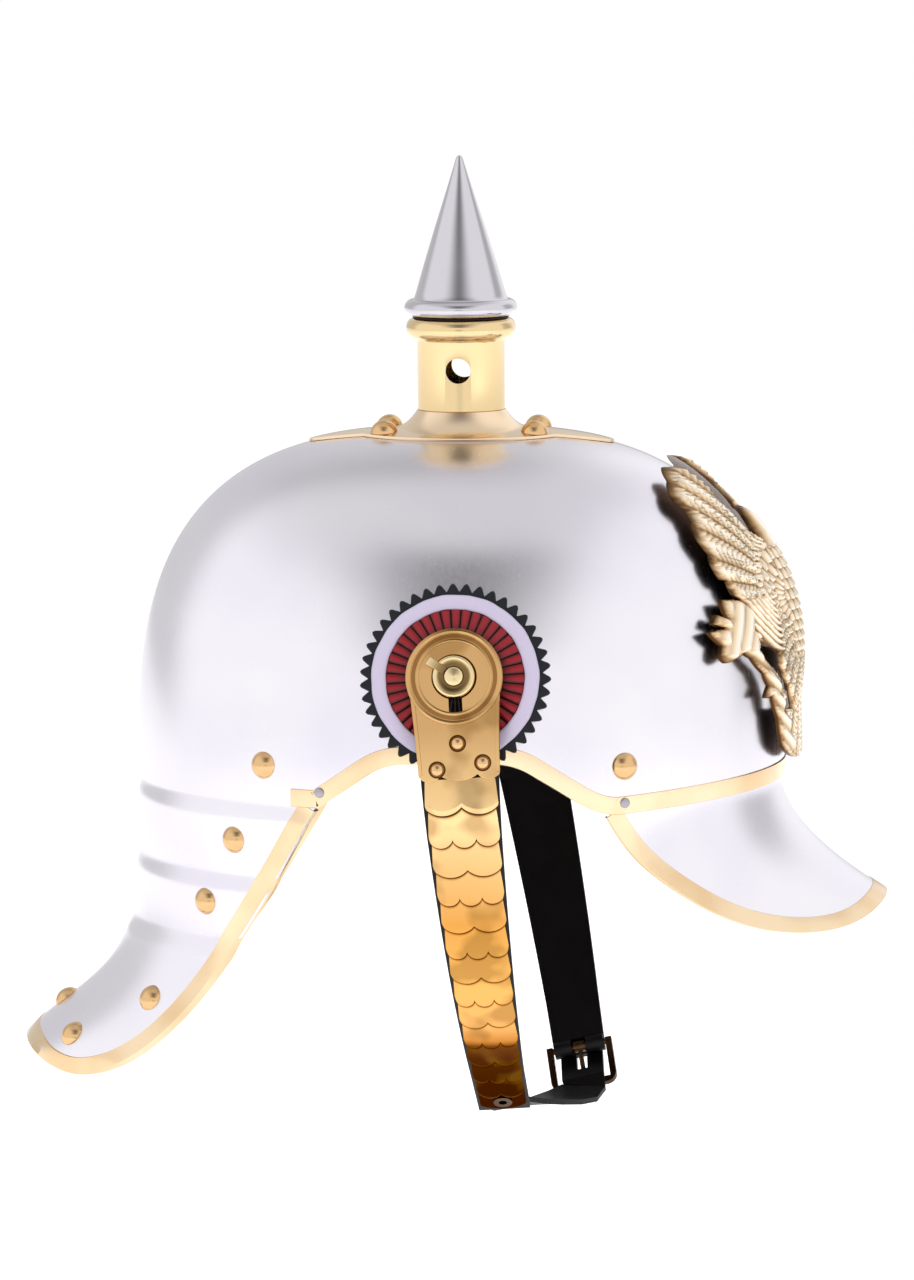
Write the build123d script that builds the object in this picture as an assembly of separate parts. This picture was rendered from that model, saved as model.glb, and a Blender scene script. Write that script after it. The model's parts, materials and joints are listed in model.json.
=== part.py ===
from build123d import *
import math
import os

# Steel cavalry pickelhaube with a lobster-tail neck guard, a brass front plate and chin scales.
# Millimetres. +X is the front, +Y the wearer's left, +Z up. The origin is the middle of the skull's rim.

# Skull
skull_half_length = 119.2
skull_half_width = 97.0
skull_height = 126.5
skull_gauge = 1.2
dome_length_power = 2.9
dome_width_power = 2.2
dome_height_shares = (0, 0.1, 0.2, 0.4, 0.57, 0.71, 0.82, 0.9, 0.955, 0.985, 0.996)
seam_gap = 0.15
overrun = 12.0

# Ear arch and the rim either side of it
arch_height = 16.5
arch_rear_foot = 44.0
arch_rear_shoulder = 20.0
arch_front_foot = 51.0
arch_front_shoulder = 26.0
arch_corner_radius = 24.0
rim_front_dip = 3.5
rim_dip_place = 56.5

# Brass edges
edge_gauge = 0.5
edge_width = 6.0
edge_steps = 12
ear_edge_rear_end = 54.0
ear_edge_front_end = 61.0

# Visor
visor_foot = 57.5
visor_reach = 155.5
visor_depth = 50.0
visor_gauge = 1.0
visor_flare = 37.0
visor_flare_depth = 43.5
visor_flare_power = 1.9
visor_narrowing = 5.0
flange_height = 19.0
flange_inset = 4.0
skirt_spread = 76.0
visor_height_shares = (0, 0.12, 0.3, 0.5, 0.7, 0.88, 1.0, 1.1)
visor_edge_shares = (
    (0, 0.06),
    (0.087, 0.34),
    (0.266, 0.66),
    (0.5, 0.91),
    (0.736, 1.0),
    (0.933, 0.954),
    (1.06, 0.83),
)

# Neck guard and its two lames
tail_foot = 45.0
tail_reach = 163.5
tail_depth = 105.5
tail_lean = 3.8
tail_flare = 41.0
tail_flare_depth = 102.0
tail_flare_power = 7
tail_narrowing = 10.0
tail_edge_shares = (
    (0, 0),
    (0.073, 0.148),
    (0.231, 0.443),
    (0.386, 0.688),
    (0.539, 0.863),
    (0.69, 0.97),
    (0.78, 1.0),
    (0.927, 0.969),
    (1.045, 0.885),
)
seam_slope = 0.18
lame_seam = 17.0
guard_seam = 43.0
lame_settle = 7.0
lame_lap_height = 9.5
guard_lap_height = 34.0
lame_lowest_tuck = 27.0
guard_lowest_tuck = 51.5
sweep_height_shares = (0.42, 0.66, 0.74, 0.81, 0.87, 0.93, 1.0, 1.06)

# Domed rivets
rivet_head_radius = 4.9
rivet_head_height = 3.1
rivet_shank_radius = 1.7
rivet_seat_gap = 0.1
guard_rivet_gap = 0.3
skull_rivet_place = 64.5
skull_rivet_height = 13.6
lame_rivet_places = ((76.4, 14.6), (88.0, 38.6))
guard_rivet_places = ((110.0, 76.1), (141.0, 92.3))
guard_tip_rivet_depth = 86.0
pin_head_radius = 1.9
pin_head_height = 0.5
ear_pin_rear = (43.5, 5.2)
ear_pin_front = (64.5, 0.6)

# Spike, its neck and its base plate
spike_offset = 1.2
base_gauge = 1.0
base_long_radius = 56.0
base_long_half_width = 15.0
base_cross_radius = 24.5
base_cross_half_width = 40.0
collar_top_height = 133.5
collar_radius = 16.2
collar_foot_radius = 22.5
collar_curve_share = 0.3
collar_drop = 8.0
neck_spigot = 4.0
vent_radius = 12.0
base_bolt_place = (27.5, 11.6)
base_bolt_radius = 5.0
base_bolt_height = 4.2
base_bolt_shank = 2.0
nut_flats = 7.0
nut_height = 3.0
neck_height = 33.5
neck_tube_radius = 16.0
neck_gauge = 1.5
neck_bead_radius = 19.7
neck_bead_height = 7.4
neck_top_gauge = 4.0
neck_vent_radius = 4.6
neck_vent_drop = 18.4
spike_bore_radius = 4.0
spike_fit = 0.08
washer_height = 0.8
washer_radius = 17.5
spike_bead_radius = 20.2
spike_bead_height = 6.4
spike_cone_radius = 17.2
spike_cone_height = 52.0
spike_tip_radius = 1.2
spike_stud_length = 10.0
bead_steps = 4

# Side posts and cockades
post_place = 5.5
post_height = 46.0
post_shank_radius = 4.5
post_cap_radius = 7.4
post_cap_height = 1.4
post_dish_depth = 0.7
post_core_radius = 3.3
post_bolt_radius = 3.0
post_nut_height = 3.0
post_nut_flats = 10.0
nut_sag = 0.1
post_nut_sag = 0.25
drill_reach = 7.0
lug_clearance = 1.6
lug_reach = 10.6
lug_width = 3.0
lug_angle = 148.0
disc_standoff = 1.6
outer_disc_radius = 33.9
outer_disc_gauge = 1.0
tooth_depth = 3.0
tooth_count = 43
ring_outer_radius = 29.6
ring_inner_radius = 24.6
ring_height = 1.6
centre_disc_gauge = 0.9

# Head plate of the chin scales
head_standoff = 7.2
head_gauge = 1.0
head_radius = 17.2
head_length = 36.7
head_foot_width = 28.5
head_shoulder_share = 0.92
head_lobe_depth = 2.0
head_lobe_shares = (0, 0.27, 0.73, 1)
head_clearance = 3.3
keyhole_radius = 7.9
keyhole_slot_width = 4.6
keyhole_slot_reach = 13.0
head_rivet_radius = 2.2
head_rivet_shank = 1.1
head_rivet_height = 1.2
head_rivet_places = ((0.0, -23.5), (-7.7, -32.4), (8.5, -30.8))

# Chin scales on their straps
swing_right = 3.7
swing_left = 12.5
scale_gauge = 0.5
scale_gap = 0.12
scale_overlap = 4.2
scale_lobe_depth = 2.8
scale_top_width = 26.0
scale_end_width = 17.0
strap_gauge = 2.0
strap_margin = 0.9
strap_top_reach = 19.0
row_pitch = 11.9
row_count = 13
end_scale_length = 15.0
end_eyelet_radius = 2.15
end_eyelet_drop = 8.0
eyelet_flange_share = 1.6
eyelet_gauge = 0.6
bend_turn = 32.7
bend_rows = 3
right_end_lean = 50.0
left_row_count = 12
left_end_length = 9.0
left_end_lean = 42.0

# Buckle
buckle_length = 18.0
buckle_width = 25.0
buckle_side = 2.4
buckle_clearance = 0.6
buckle_corner = 4.0
prong_radius = 0.9
prong_turn_radius = 2.2
prong_fit = 0.05
tongue_gauge = 2.0
tongue_width = 16.0
tongue_tail = 9.0
tongue_root = 12.0
tongue_dip = -2.9
tongue_rise = 5.0
tongue_pull = 14.0
tongue_steps = 6
tongue_slot_shares = (0.1, 0.68)
tongue_slot_width = 4.0

# Front plate
eagle_standoff = 4.0
eagle_gauge = 1.2
eagle_half_width = 58.5
eagle_foot = 6.5
eagle_height = 109.0
eagle_stud_place = (22.0, 62.0)
eagle_stud_radius = 1.5
small_nut_flats = 6.0
small_nut_height = 2.4
eagle_outline_shares = (
    (0, 0.84),
    (0.09, 0.82),
    (0.13, 0.76),
    (0.16, 0.72),
    (0.27, 0.77),
    (0.335, 0.816),
    (0.335, 0.89),
    (0.318, 0.984),
    (0.397, 0.988),
    (0.51, 0.948),
    (0.63, 0.896),
    (0.633, 0.86),
    (0.677, 0.821),
    (0.735, 0.777),
    (0.742, 0.717),
    (0.77, 0.691),
    (0.773, 0.638),
    (0.74, 0.628),
    (0.74, 0.579),
    (0.71, 0.564),
    (0.85, 0.573),
    (0.855, 0.514),
    (0.915, 0.53),
    (0.96, 0.502),
    (0.895, 0.483),
    (1.0, 0.476),
    (0.95, 0.43),
    (0.98, 0.39),
    (0.957, 0.372),
    (0.868, 0.385),
    (0.81, 0.394),
    (0.76, 0.375),
    (0.667, 0.318),
    (0.63, 0.274),
    (0.687, 0.238),
    (0.605, 0.236),
    (0.547, 0.161),
    (0.5, 0.067),
    (0.43, 0.038),
    (0.16, 0.003),
    (0, 0),
)
eagle_window_shares = (
    (0.448, 0.185),
    (0.28, 0.177),
    (0.318, 0.239),
    (0.4, 0.285),
    (0.435, 0.33),
    (0.43, 0.368),
    (0.503, 0.385),
    (0.595, 0.405),
    (0.674, 0.434),
    (0.694, 0.425),
    (0.66, 0.37),
    (0.55, 0.325),
    (0.485, 0.275),
    (0.445, 0.225),
)

# Liner
liner_gauge = 1.5
liner_low = 4.0
liner_high = 36.0
liner_arch_margin = 3.0
finger_count = 8
finger_gap = 9.0
finger_low = 32.5
finger_top = 92.0
finger_gauge = 1.4
finger_draw_share = 0.6
finger_draw_power = 1.5
finger_height_shares = (0, 0.12, 0.3, 0.5, 0.7, 0.87, 1.0)
lace_radius = 1.2


def skull_axes(z, grow=0.0):
    """Half length and half width of the dome at a height, grown outwards by a gauge."""
    share = min(abs(z) / (skull_height + grow), 1)
    return (
        (skull_half_length + grow) * (1 - share**dome_length_power) ** (1 / dome_length_power),
        (skull_half_width + grow) * (1 - share**dome_width_power) ** (1 / dome_width_power),
    )


def visor_axes(z, grow=0.0):
    """The visor's outer face: inside the skull above the rim, flaring forward below it."""
    length, width = skull_axes(max(z, 0), grow - skull_gauge - seam_gap)
    share = max(-z, 0) / visor_flare_depth
    return length + visor_flare * share**visor_flare_power, width - visor_narrowing * share


def tail_axes(z, grow=0.0):
    """The master face of the tail: flush with the skull at the rim, swept out at the bottom."""
    length, width = skull_axes(max(z, 0), grow)
    share = max(-z, 0) / tail_flare_depth
    full = min(share, 1)
    sweep = full**tail_flare_power * (1 + tail_flare_power * (1 - full))
    return length + tail_lean * share + tail_flare * sweep, width - tail_narrowing * share


def tuck(z, lowest):
    """How far a lame sits inside the one above: 1 down to its lowest tuck, then settling to 0."""
    share = min(max((-z - lowest) / lame_settle, 0), 1)
    return 1 - share * share * (3 - 2 * share)


def lame_axes(lowest):
    def axes(z, grow=0.0):
        return tail_axes(z, grow - (skull_gauge + seam_gap) * tuck(z, lowest))

    return axes


upper_axes = lame_axes(0.0)
lower_axes = lame_axes(lame_lowest_tuck)
guard_axes = lame_axes(guard_lowest_tuck)


def oval_loft(axes, heights, grow=0.0):
    """A solid through ovals at the given heights."""
    ovals = []
    for z in heights:
        length, width = axes(z, grow)
        ovals.append((Plane.XY.offset(z) * Ellipse(length, width)).face())
    return loft(ovals)


def skirt(axes, heights, gauge, middle, grow=0.0):
    """Sheet metal hung round the front (middle 0) or back (middle 180) of the rim."""
    sections = []
    for z in heights:
        start = middle - skirt_spread
        spread = 2 * skirt_spread
        arcs = [
            EllipticalCenterArc((0, 0), *axes(z, size), start_angle=start, arc_size=spread)
            for size in (grow, grow - gauge)
        ]
        ends = [Line(arcs[0] @ end, arcs[1] @ end) for end in (0, 1)]
        sections.append(Plane.XY.offset(z) * make_face([*arcs, *ends]))
    return loft([section.face() for section in sections], ruled=True)


def dome(grow=0.0, foot=0.0):
    """The closed form of the skull, grown by a gauge and carried below the rim by a foot."""
    heights = [-foot] if foot else []
    heights += [share * (skull_height + grow) for share in dome_height_shares]
    return oval_loft(skull_axes, heights, grow)


def dome_shell(outer_grow, inner_grow, foot=0.0):
    return dome(outer_grow, foot) - dome(inner_grow, foot)


def side_face(points):
    """A closed face in the side view from (x, z) points."""
    return Plane.XZ * make_face(Polyline(*points, close=True))


def across(face):
    """A side-view face made into a bar across the whole helmet."""
    return extrude(face, amount=skull_half_width + overrun, both=True)


def wall_seat(axes, x, z, side, grow=0.0):
    """A plane on the outer face of an oval form at (x, z), facing outwards."""
    step = skull_gauge / 10
    length, width = axes(z, grow)
    longer, wider = (high - low for high, low in zip(axes(z + step, grow), axes(z - step, grow)))
    along = max(min(x / length, 1), -1)
    y = side * width * math.sqrt(1 - along**2)
    rise = -(x**2 / length**3 * longer + y**2 / width**3 * wider) / (2 * step)
    return Plane(origin=(x, y, z), z_dir=(x / length**2, y / width**2, rise))


def dome_seat(x, y, grow=0.0):
    """A plane on top of the dome over the point (x, y), facing outwards."""
    low, high = 0.0, skull_height + grow
    for _ in range(40):
        z = (low + high) / 2
        length, width = skull_axes(z, grow)
        inside = length > 0 and (x / length) ** 2 + (y / width) ** 2 < 1
        low, high = (z, high) if inside else (low, z)
    side = 1 if y > 0 else -1
    return wall_seat(skull_axes, x, low, side, grow)


def both_sides(part):
    return [part, mirror(part, about=Plane.XZ)]


def spun(*lines):
    """A solid of revolution about Z from the lines of a closed half profile in (radius, height)."""
    return revolve(Plane.XZ * make_face([edge for line in lines for edge in line.edges()]), Axis.Z)


def rivet(
    grip,
    radius=rivet_head_radius,
    height=rivet_head_height,
    shank=rivet_shank_radius,
    lift=rivet_seat_gap,
):
    """A domed rivet on Z = 0: head above its seat gap, shank through the grip, peened flat below."""
    crown = [
        (radius * math.cos(turn * math.pi / 6), lift + height * math.sin(turn * math.pi / 6))
        for turn in (0, 1, 2)
    ]
    return spun(
        Polyline((0, lift + height), (0, -grip), (shank, -grip), (shank, lift), *crown, (0, lift + height))
    )


def bead(foot_radius, radius, top_radius, foot, top):
    """Points of a turned bead's half profile, from its foot to its top."""
    points = []
    for step in range(bead_steps + 1):
        turn = math.pi * step / bead_steps
        flat = foot_radius + (top_radius - foot_radius) * step / bead_steps
        out = flat + (radius - max(foot_radius, top_radius)) * math.sin(turn)
        points.append((out, foot + (top - foot) * (1 - math.cos(turn)) / 2))
    return points


def nut(flats, height, bore, under):
    """A hexagon nut whose upper face is at -under."""
    body = extrude(RegularPolygon(flats / 2, 6, major_radius=False) - Circle(bore), amount=-height)
    return Pos(0, 0, -under) * body


def drilled(part, *drills):
    """The part with round holes through its wall: each drill is a list of seats and a radius."""
    bars = [seat * Cylinder(radius, 2 * drill_reach) for seats, radius in drills for seat in seats]
    return part - bars


def save(name, *pieces):
    flat = [solid for piece in pieces for solid in piece.solids()]
    export_step(flat[0] if len(flat) == 1 else Compound(children=flat), f"parts/{name}.step")


# Side-view outlines
arch_outline = make_face(
    Polyline(
        (-arch_rear_foot - overrun, -overrun),
        (-arch_rear_foot, 0),
        (-arch_rear_shoulder, arch_height),
        (arch_front_shoulder, arch_height),
        (arch_front_foot, 0),
        (rim_dip_place, -rim_front_dip),
        (rim_dip_place, -overrun),
        close=True,
    )
).face()
arch_outline = arch_outline.fillet_2d(arch_corner_radius, arch_outline.vertices().sort_by(Axis.Y)[-2:])
arch_face = Plane.XZ * Sketch(arch_outline.wrapped)
below_rim = side_face(
    [
        (-tail_reach, -overrun),
        (-tail_reach, 0),
        (-arch_rear_foot, 0),
        (rim_dip_place, -rim_front_dip),
        (skull_half_length, 0),
        (visor_reach, 0),
        (visor_reach, -overrun),
    ]
)


def edge_points(shares, foot, reach, depth, direction):
    return [(direction * (foot + x * (reach - foot)), -z * depth) for x, z in shares]


visor_edge = edge_points(visor_edge_shares, visor_foot, visor_reach, visor_depth, 1)
tail_edge = edge_points(tail_edge_shares, tail_foot, tail_reach, tail_depth, -1)


def skirt_face(points, direction):
    """The side view of the visor or tail, from its lower edge up to its flange inside the skull."""
    first, last = points[0], points[-1]
    back = first[0] + direction * flange_inset
    return Plane.XZ * make_face(
        Wire(
            [
                Spline(*points),
                *Polyline(
                    last,
                    (last[0], flange_height),
                    (back, flange_height),
                    (back, 0) if first[1] < 0 else (back, flange_height / 2),
                    first,
                ).edges(),
            ]
        )
    )


visor_face = skirt_face(visor_edge, 1)
tail_face = skirt_face(tail_edge, -1)


os.makedirs("parts", exist_ok=True)

# Where everything that pierces the sheet metal sits, right side first
rim_cut = Plane.XZ.to_local_coords(arch_face + below_rim)
skull_rivet_seats = []
lame_rivet_seats = []
guard_rivet_seats = []
rear_pin_seats = []
front_pin_seats = []
stud_seats = []
for side in (-1, 1):
    for x in (-skull_rivet_place, skull_rivet_place):
        skull_rivet_seats.append(wall_seat(skull_axes, x, skull_rivet_height, side))
    for (x, depth), axes in zip(lame_rivet_places, (upper_axes, lower_axes)):
        lame_rivet_seats.append(wall_seat(axes, -x, -depth, side))
    for x, depth in guard_rivet_places:
        guard_rivet_seats.append(wall_seat(guard_axes, -x, -depth, side))
    rear_pin_seats.append(wall_seat(skull_axes, -ear_pin_rear[0], ear_pin_rear[1], side, edge_gauge))
    front_pin_seats.append(wall_seat(skull_axes, ear_pin_front[0], ear_pin_front[1], side, edge_gauge))
    stud_length, stud_width = skull_axes(eagle_stud_place[1])
    stud_x = stud_length * math.sqrt(1 - (eagle_stud_place[0] / stud_width) ** 2)
    stud_seats.append(wall_seat(skull_axes, stud_x, eagle_stud_place[1], side))
tip_length = guard_axes(-guard_tip_rivet_depth)[0]
guard_rivet_seats.append(wall_seat(guard_axes, -tip_length, -guard_tip_rivet_depth, 1))
bolt_seats = [
    dome_seat(spike_offset + x * base_bolt_place[0], y * base_bolt_place[1], base_gauge + seam_gap)
    for x in (-1, 1)
    for y in (-1, 1)
]
wall = wall_seat(skull_axes, post_place, post_height, -1)
wall_lean = math.degrees(math.atan2(wall.z_dir.Z, -wall.z_dir.Y))
post_seat = Plane(origin=wall.origin, x_dir=(1, 0, 0), z_dir=(0, wall.z_dir.Y, wall.z_dir.Z))
post_seat_left = Plane(
    origin=(post_place, -wall.origin.Y, wall.origin.Z),
    x_dir=(1, 0, 0),
    z_dir=(0, -wall.z_dir.Y, wall.z_dir.Z),
)

# Visor, neck guard and lames, cut to their side-view outlines
visor_heights = [flange_height, flange_height / 2] + [-share * visor_depth for share in visor_height_shares]
visor = skirt(visor_axes, visor_heights, visor_gauge, 0) & across(visor_face)


def settling(lowest):
    """Heights of the sections through which a lame settles outwards below its lowest tuck."""
    return [-lowest, -lowest - lame_settle / 2, -lowest - lame_settle]


tail_heights = settling(0) + settling(lame_lowest_tuck) + settling(guard_lowest_tuck)
tail_heights += [-share * tail_flare_depth for share in sweep_height_shares]
tail_heights = [flange_height, flange_height / 2] + sorted(tail_heights, reverse=True)


def tail_sections(top, bottom):
    """The shared section heights from the last one at or above top to the first one at or below bottom."""
    above = [z for z in tail_heights if z >= top]
    below = [z for z in tail_heights if z <= bottom]
    return [z for z in tail_heights if above[-1] >= z >= below[0]]


def above_seam(seam, lap_top):
    """The side-view region of a lame: from the top of its lap down to its sloping lower seam."""
    front = tail_foot - overrun
    return side_face(
        [
            (-front, lap_top),
            (-tail_reach - overrun, lap_top),
            (-tail_reach - overrun, -seam + seam_slope * (tail_reach + overrun - skull_half_length)),
            (-front, -seam - seam_slope * (skull_half_length - front)),
        ]
    )


upper_heights = tail_sections(flange_height, -lame_lowest_tuck - lame_settle)
lame_upper = skirt(upper_axes, upper_heights, skull_gauge, 180) & across(tail_face)
lame_upper = lame_upper & across(above_seam(lame_seam, flange_height))
lower_heights = tail_sections(-lame_lap_height, -guard_lowest_tuck - lame_settle)
lame_lower = skirt(lower_axes, lower_heights, skull_gauge, 180) & across(tail_face)
lame_lower = lame_lower & across(above_seam(guard_seam, -lame_lap_height))
guard_heights = tail_sections(-guard_lap_height, tail_heights[-1])
neck_guard = skirt(guard_axes, guard_heights, skull_gauge, 180) & across(tail_face)

# Brass edge of the neck guard and lames, folded round their rims
edge_fold = 2 * skull_gauge + seam_gap + 2 * edge_gauge


def beside(points, distance):
    """Points beside the curve through the given points, to the left of its run."""
    line = Spline(*points)
    moved = []
    for step in range(edge_steps + 1):
        spot = line @ (step / edge_steps)
        along = line % (step / edge_steps)
        moved.append((spot.X - along.Y * distance, spot.Y + along.X * distance))
    return moved


def edge_band(points, top, direction):
    """The side-view band of a folded edge, from its top downwards."""
    lower = Spline(*beside(points, -direction * edge_gauge))
    upper = Spline(*beside(points, direction * edge_width))
    band = make_face([lower, upper, Line(lower @ 0, upper @ 0), Line(lower @ 1, upper @ 1)])
    length = tail_reach + tail_depth
    keep = Pos(direction * length / 2, -length / 2 - top) * Rectangle(length, length)
    return across(Plane.XZ * (band & keep))


tail_band = edge_band(tail_edge, 2 * edge_gauge, -1)
edge_heights = tail_sections(0, tail_heights[-1])
neck_guard_edge = skirt(upper_axes, edge_heights, edge_fold, 180, edge_gauge) & tail_band
neck_guard_edge = neck_guard_edge - neck_guard - lame_upper - lame_lower
visor_band = edge_band(visor_edge, rim_front_dip + edge_gauge, 1)
visor_edge_piece = skirt(visor_axes, visor_heights[2:], visor_gauge + 2 * edge_gauge, 0, edge_gauge)
visor_edge_piece = (visor_edge_piece & visor_band) - visor

# Skull
rim_depth = rim_front_dip + edge_gauge
skull = dome(0, rim_depth) - dome(-skull_gauge, rim_depth) - across(arch_face) - across(below_rim)
skull = skull - Pos(spike_offset, 0, skull_height) * Cylinder(vent_radius, 2 * overrun)

# Brass edges of the ear arches and the brow band over the visor joint
rim_fold = Plane.XZ * (offset(rim_cut, edge_width) - offset(rim_cut, -edge_gauge))
fold_reach = arch_height + 2 * edge_width


def stretch(rear, front):
    """The side-view strip between two places along the rim."""
    corners = [(rear, -fold_reach), (front, -fold_reach), (front, fold_reach), (rear, fold_reach)]
    return across(side_face(corners))


fold_depth = rim_depth + edge_gauge
ear_edges = dome_shell(edge_gauge, -skull_gauge - edge_gauge, fold_depth) & across(rim_fold)
ear_edges = ear_edges & stretch(-ear_edge_rear_end, ear_edge_front_end)
fold_ends = stretch(-tail_reach, edge_gauge - tail_foot) + stretch(visor_foot - edge_gauge, visor_reach)
ear_edges = ear_edges - skull - (dome(-skull_gauge / 2, fold_depth) & fold_ends)
brow_band = dome_shell(edge_gauge, 0, fold_depth) & across(rim_fold)
brow_band = brow_band & stretch(ear_edge_front_end, visor_reach)

# Brass base plate of the spike, with its collar
plate_outline = Ellipse(base_long_radius, base_long_half_width)
plate_outline = plate_outline + Ellipse(base_cross_half_width, base_cross_radius)
plate_bar = extrude(plate_outline, amount=skull_height + overrun)
base_foot = collar_foot_radius - collar_radius
collar = spun(
    Polyline(
        (collar_radius, collar_top_height),
        (collar_radius + base_foot * collar_curve_share, collar_top_height - collar_drop / 2),
        (collar_foot_radius, collar_top_height - collar_drop),
        (collar_foot_radius, skull_height - overrun),
        (collar_radius - base_gauge, skull_height - overrun),
        (collar_radius - base_gauge, collar_top_height),
        (collar_radius, collar_top_height),
    ),
)
dome_core = dome(seam_gap)
base_plate = (dome(seam_gap + base_gauge) - dome_core) & (Pos(spike_offset, 0, 0) * plate_bar)
base_plate = base_plate - Pos(spike_offset, 0, skull_height) * Cylinder(collar_radius, 2 * overrun)
base_plate = base_plate + (Pos(spike_offset, 0, 0) * collar - dome_core)

# Neck, washer and spike on the axis of the dome's vent
neck_foot = collar_top_height
neck_top = neck_foot + neck_height
neck_bore = neck_tube_radius - neck_gauge
bead_foot = neck_top - neck_bead_height
neck = spun(
    Polyline(
        (spike_bore_radius, neck_top),
        (spike_bore_radius, neck_top - neck_top_gauge),
        (neck_bore, neck_top - neck_top_gauge),
        (neck_bore, neck_foot - neck_spigot),
        (collar_radius - base_gauge, neck_foot - neck_spigot),
        (collar_radius - base_gauge, neck_foot),
        (neck_tube_radius, neck_foot),
        *bead(neck_tube_radius, neck_bead_radius, washer_radius, bead_foot, neck_top),
        (spike_bore_radius, neck_top),
    )
)
vent_bar = Rot(90, 0, 0) * Cylinder(neck_vent_radius, 2 * neck_bead_radius)
neck = neck - Pos(0, 0, neck_top - neck_vent_drop) * vent_bar
washer = extrude(Circle(washer_radius) - Circle(spike_bore_radius), amount=washer_height)
spike_foot = neck_top + washer_height
cone_foot = spike_foot + spike_bead_height
spike_stud = spike_bore_radius - spike_fit
spike = spun(
    Polyline(
        (0, cone_foot + spike_cone_height),
        (0, spike_foot - spike_stud_length),
        (spike_stud, spike_foot - spike_stud_length),
        (spike_stud, spike_foot),
        *bead(washer_radius, spike_bead_radius, spike_cone_radius, spike_foot, cone_foot),
        (spike_tip_radius, cone_foot + spike_cone_height - spike_tip_radius),
        (0, cone_foot + spike_cone_height),
    )
)
on_axis = Pos(spike_offset, 0, 0)

# Side posts, right first
lug_top = head_standoff + head_gauge + lug_clearance
cap_top = lug_top + post_cap_height
post_grip = skull_gauge + post_nut_sag + post_nut_height
post = spun(
    Polyline(
        (0, cap_top),
        (0, -post_grip),
        (post_bolt_radius, -post_grip),
        (post_bolt_radius, seam_gap),
        (post_cap_radius, seam_gap),
        (post_cap_radius, disc_standoff),
        (post_shank_radius, disc_standoff),
        (post_shank_radius, disc_standoff + outer_disc_gauge + centre_disc_gauge),
        (post_cap_radius, disc_standoff + outer_disc_gauge + centre_disc_gauge),
        (post_cap_radius, cap_top),
        (post_core_radius, cap_top - post_dish_depth),
        (post_core_radius, cap_top),
        (0, cap_top),
    )
)
lug = Pos(lug_reach / 2, 0, lug_top + post_cap_height / 2) * Box(lug_reach, lug_width, post_cap_height)
post = post + Rot(0, 0, lug_angle) * (lug - Cylinder(post_core_radius, 2 * cap_top))
side_post = post_seat * post
post_nut = post_seat * nut(post_nut_flats, post_nut_height, post_bolt_radius, skull_gauge + post_nut_sag)

# Cockade, right
tooth_points = [
    (radius * math.cos(turn), radius * math.sin(turn))
    for radius, turn in (
        (outer_disc_radius - tooth_depth * (step % 2), math.pi * step / tooth_count)
        for step in range(2 * tooth_count)
    )
]
outer_disc = make_face(Polyline(*tooth_points, close=True)) - Circle(post_shank_radius)
outer_disc = Pos(0, 0, disc_standoff) * extrude(outer_disc, amount=outer_disc_gauge)
disc_top = disc_standoff + outer_disc_gauge
white_ring = extrude(Circle(ring_outer_radius) - Circle(ring_inner_radius), amount=ring_height)
white_ring = Pos(0, 0, disc_top) * white_ring
centre_disc = Circle(ring_inner_radius) - Circle(post_shank_radius)
centre_disc = Pos(0, 0, disc_top) * extrude(centre_disc, amount=centre_disc_gauge)
cockade = [post_seat * piece for piece in (outer_disc, white_ring, centre_disc)]

# Chin straps: corners of the outer face in an upright plane, (inwards, up) from the head plate's middle
plate_seat = post_seat.offset(head_standoff)
hinge = plate_seat.origin


def run_direction(lean):
    turn = math.radians(lean)
    return math.sin(turn), -math.cos(turn)


def strap_runs(end_lean, rows, end_length):
    """Corners of the strap with the lean of the run that starts at each."""
    lean = -wall_lean
    leans = [lean]
    along, up = run_direction(lean)
    start = head_length - scale_overlap
    corners = [(along * start, up * start)]
    for row in range(rows):
        if row < bend_rows:
            lean += bend_turn / bend_rows
        else:
            lean += (end_lean - bend_turn + wall_lean) / (rows - bend_rows)
        leans.append(lean)
        along, up = run_direction(lean)
        length = row_pitch if row < rows - 1 else row_pitch + end_length
        corners.append((corners[-1][0] + along * length, corners[-1][1] + up * length))
    return corners, leans


def strap_point(point, across_strap=0.0):
    return (hinge.X + across_strap, hinge.Y + point[0], hinge.Z + point[1])


def run_plane(point, lean):
    """A plane on the strap's outer face: x across the strap, -y down it, z outwards."""
    turn = math.radians(lean)
    return Plane(origin=strap_point(point), x_dir=(1, 0, 0), z_dir=(0, -math.cos(turn), -math.sin(turn)))


def scale_width(row):
    return scale_top_width + (scale_end_width - scale_top_width) * row / row_count


def strap_solid(corners, leans):
    """The leather strap: flat runs between the corners, tapering with the scales."""
    top = run_direction(leans[0])
    path = [(top[0] * strap_top_reach, top[1] * strap_top_reach)] + corners
    turns = [leans[0]] + [(a + b) / 2 for a, b in zip(leans, leans[1:])] + [leans[-1]]
    sections = []
    for place, (point, lean) in enumerate(zip(path, turns)):
        half = scale_width(max(place - 1, 0)) / 2 + strap_margin
        turn = math.radians(lean)
        inner = (point[0] + strap_gauge * math.cos(turn), point[1] + strap_gauge * math.sin(turn))
        spots = ((point, half), (point, -half), (inner, -half), (inner, half))
        ring = [strap_point(spot, edge) for spot, edge in spots]
        sections.append(make_face(Polyline(*ring, close=True)).face())
    return loft(sections, ruled=True)


def lobed(width, length, depth, lobes):
    """A plate outline hanging from y = 0, straight-sided, with round lobes along its foot."""
    places = [width * (share - 0.5) for share in lobes]
    arcs = [
        ThreePointArc((a, depth - length), ((a + b) / 2, -length), (b, depth - length))
        for a, b in zip(places, places[1:])
    ]
    foot = depth - length
    sides = Polyline((places[-1], foot), (width / 2, 0), (-width / 2, 0), (places[0], foot))
    return make_face([*arcs, *sides.edges()])


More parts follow.
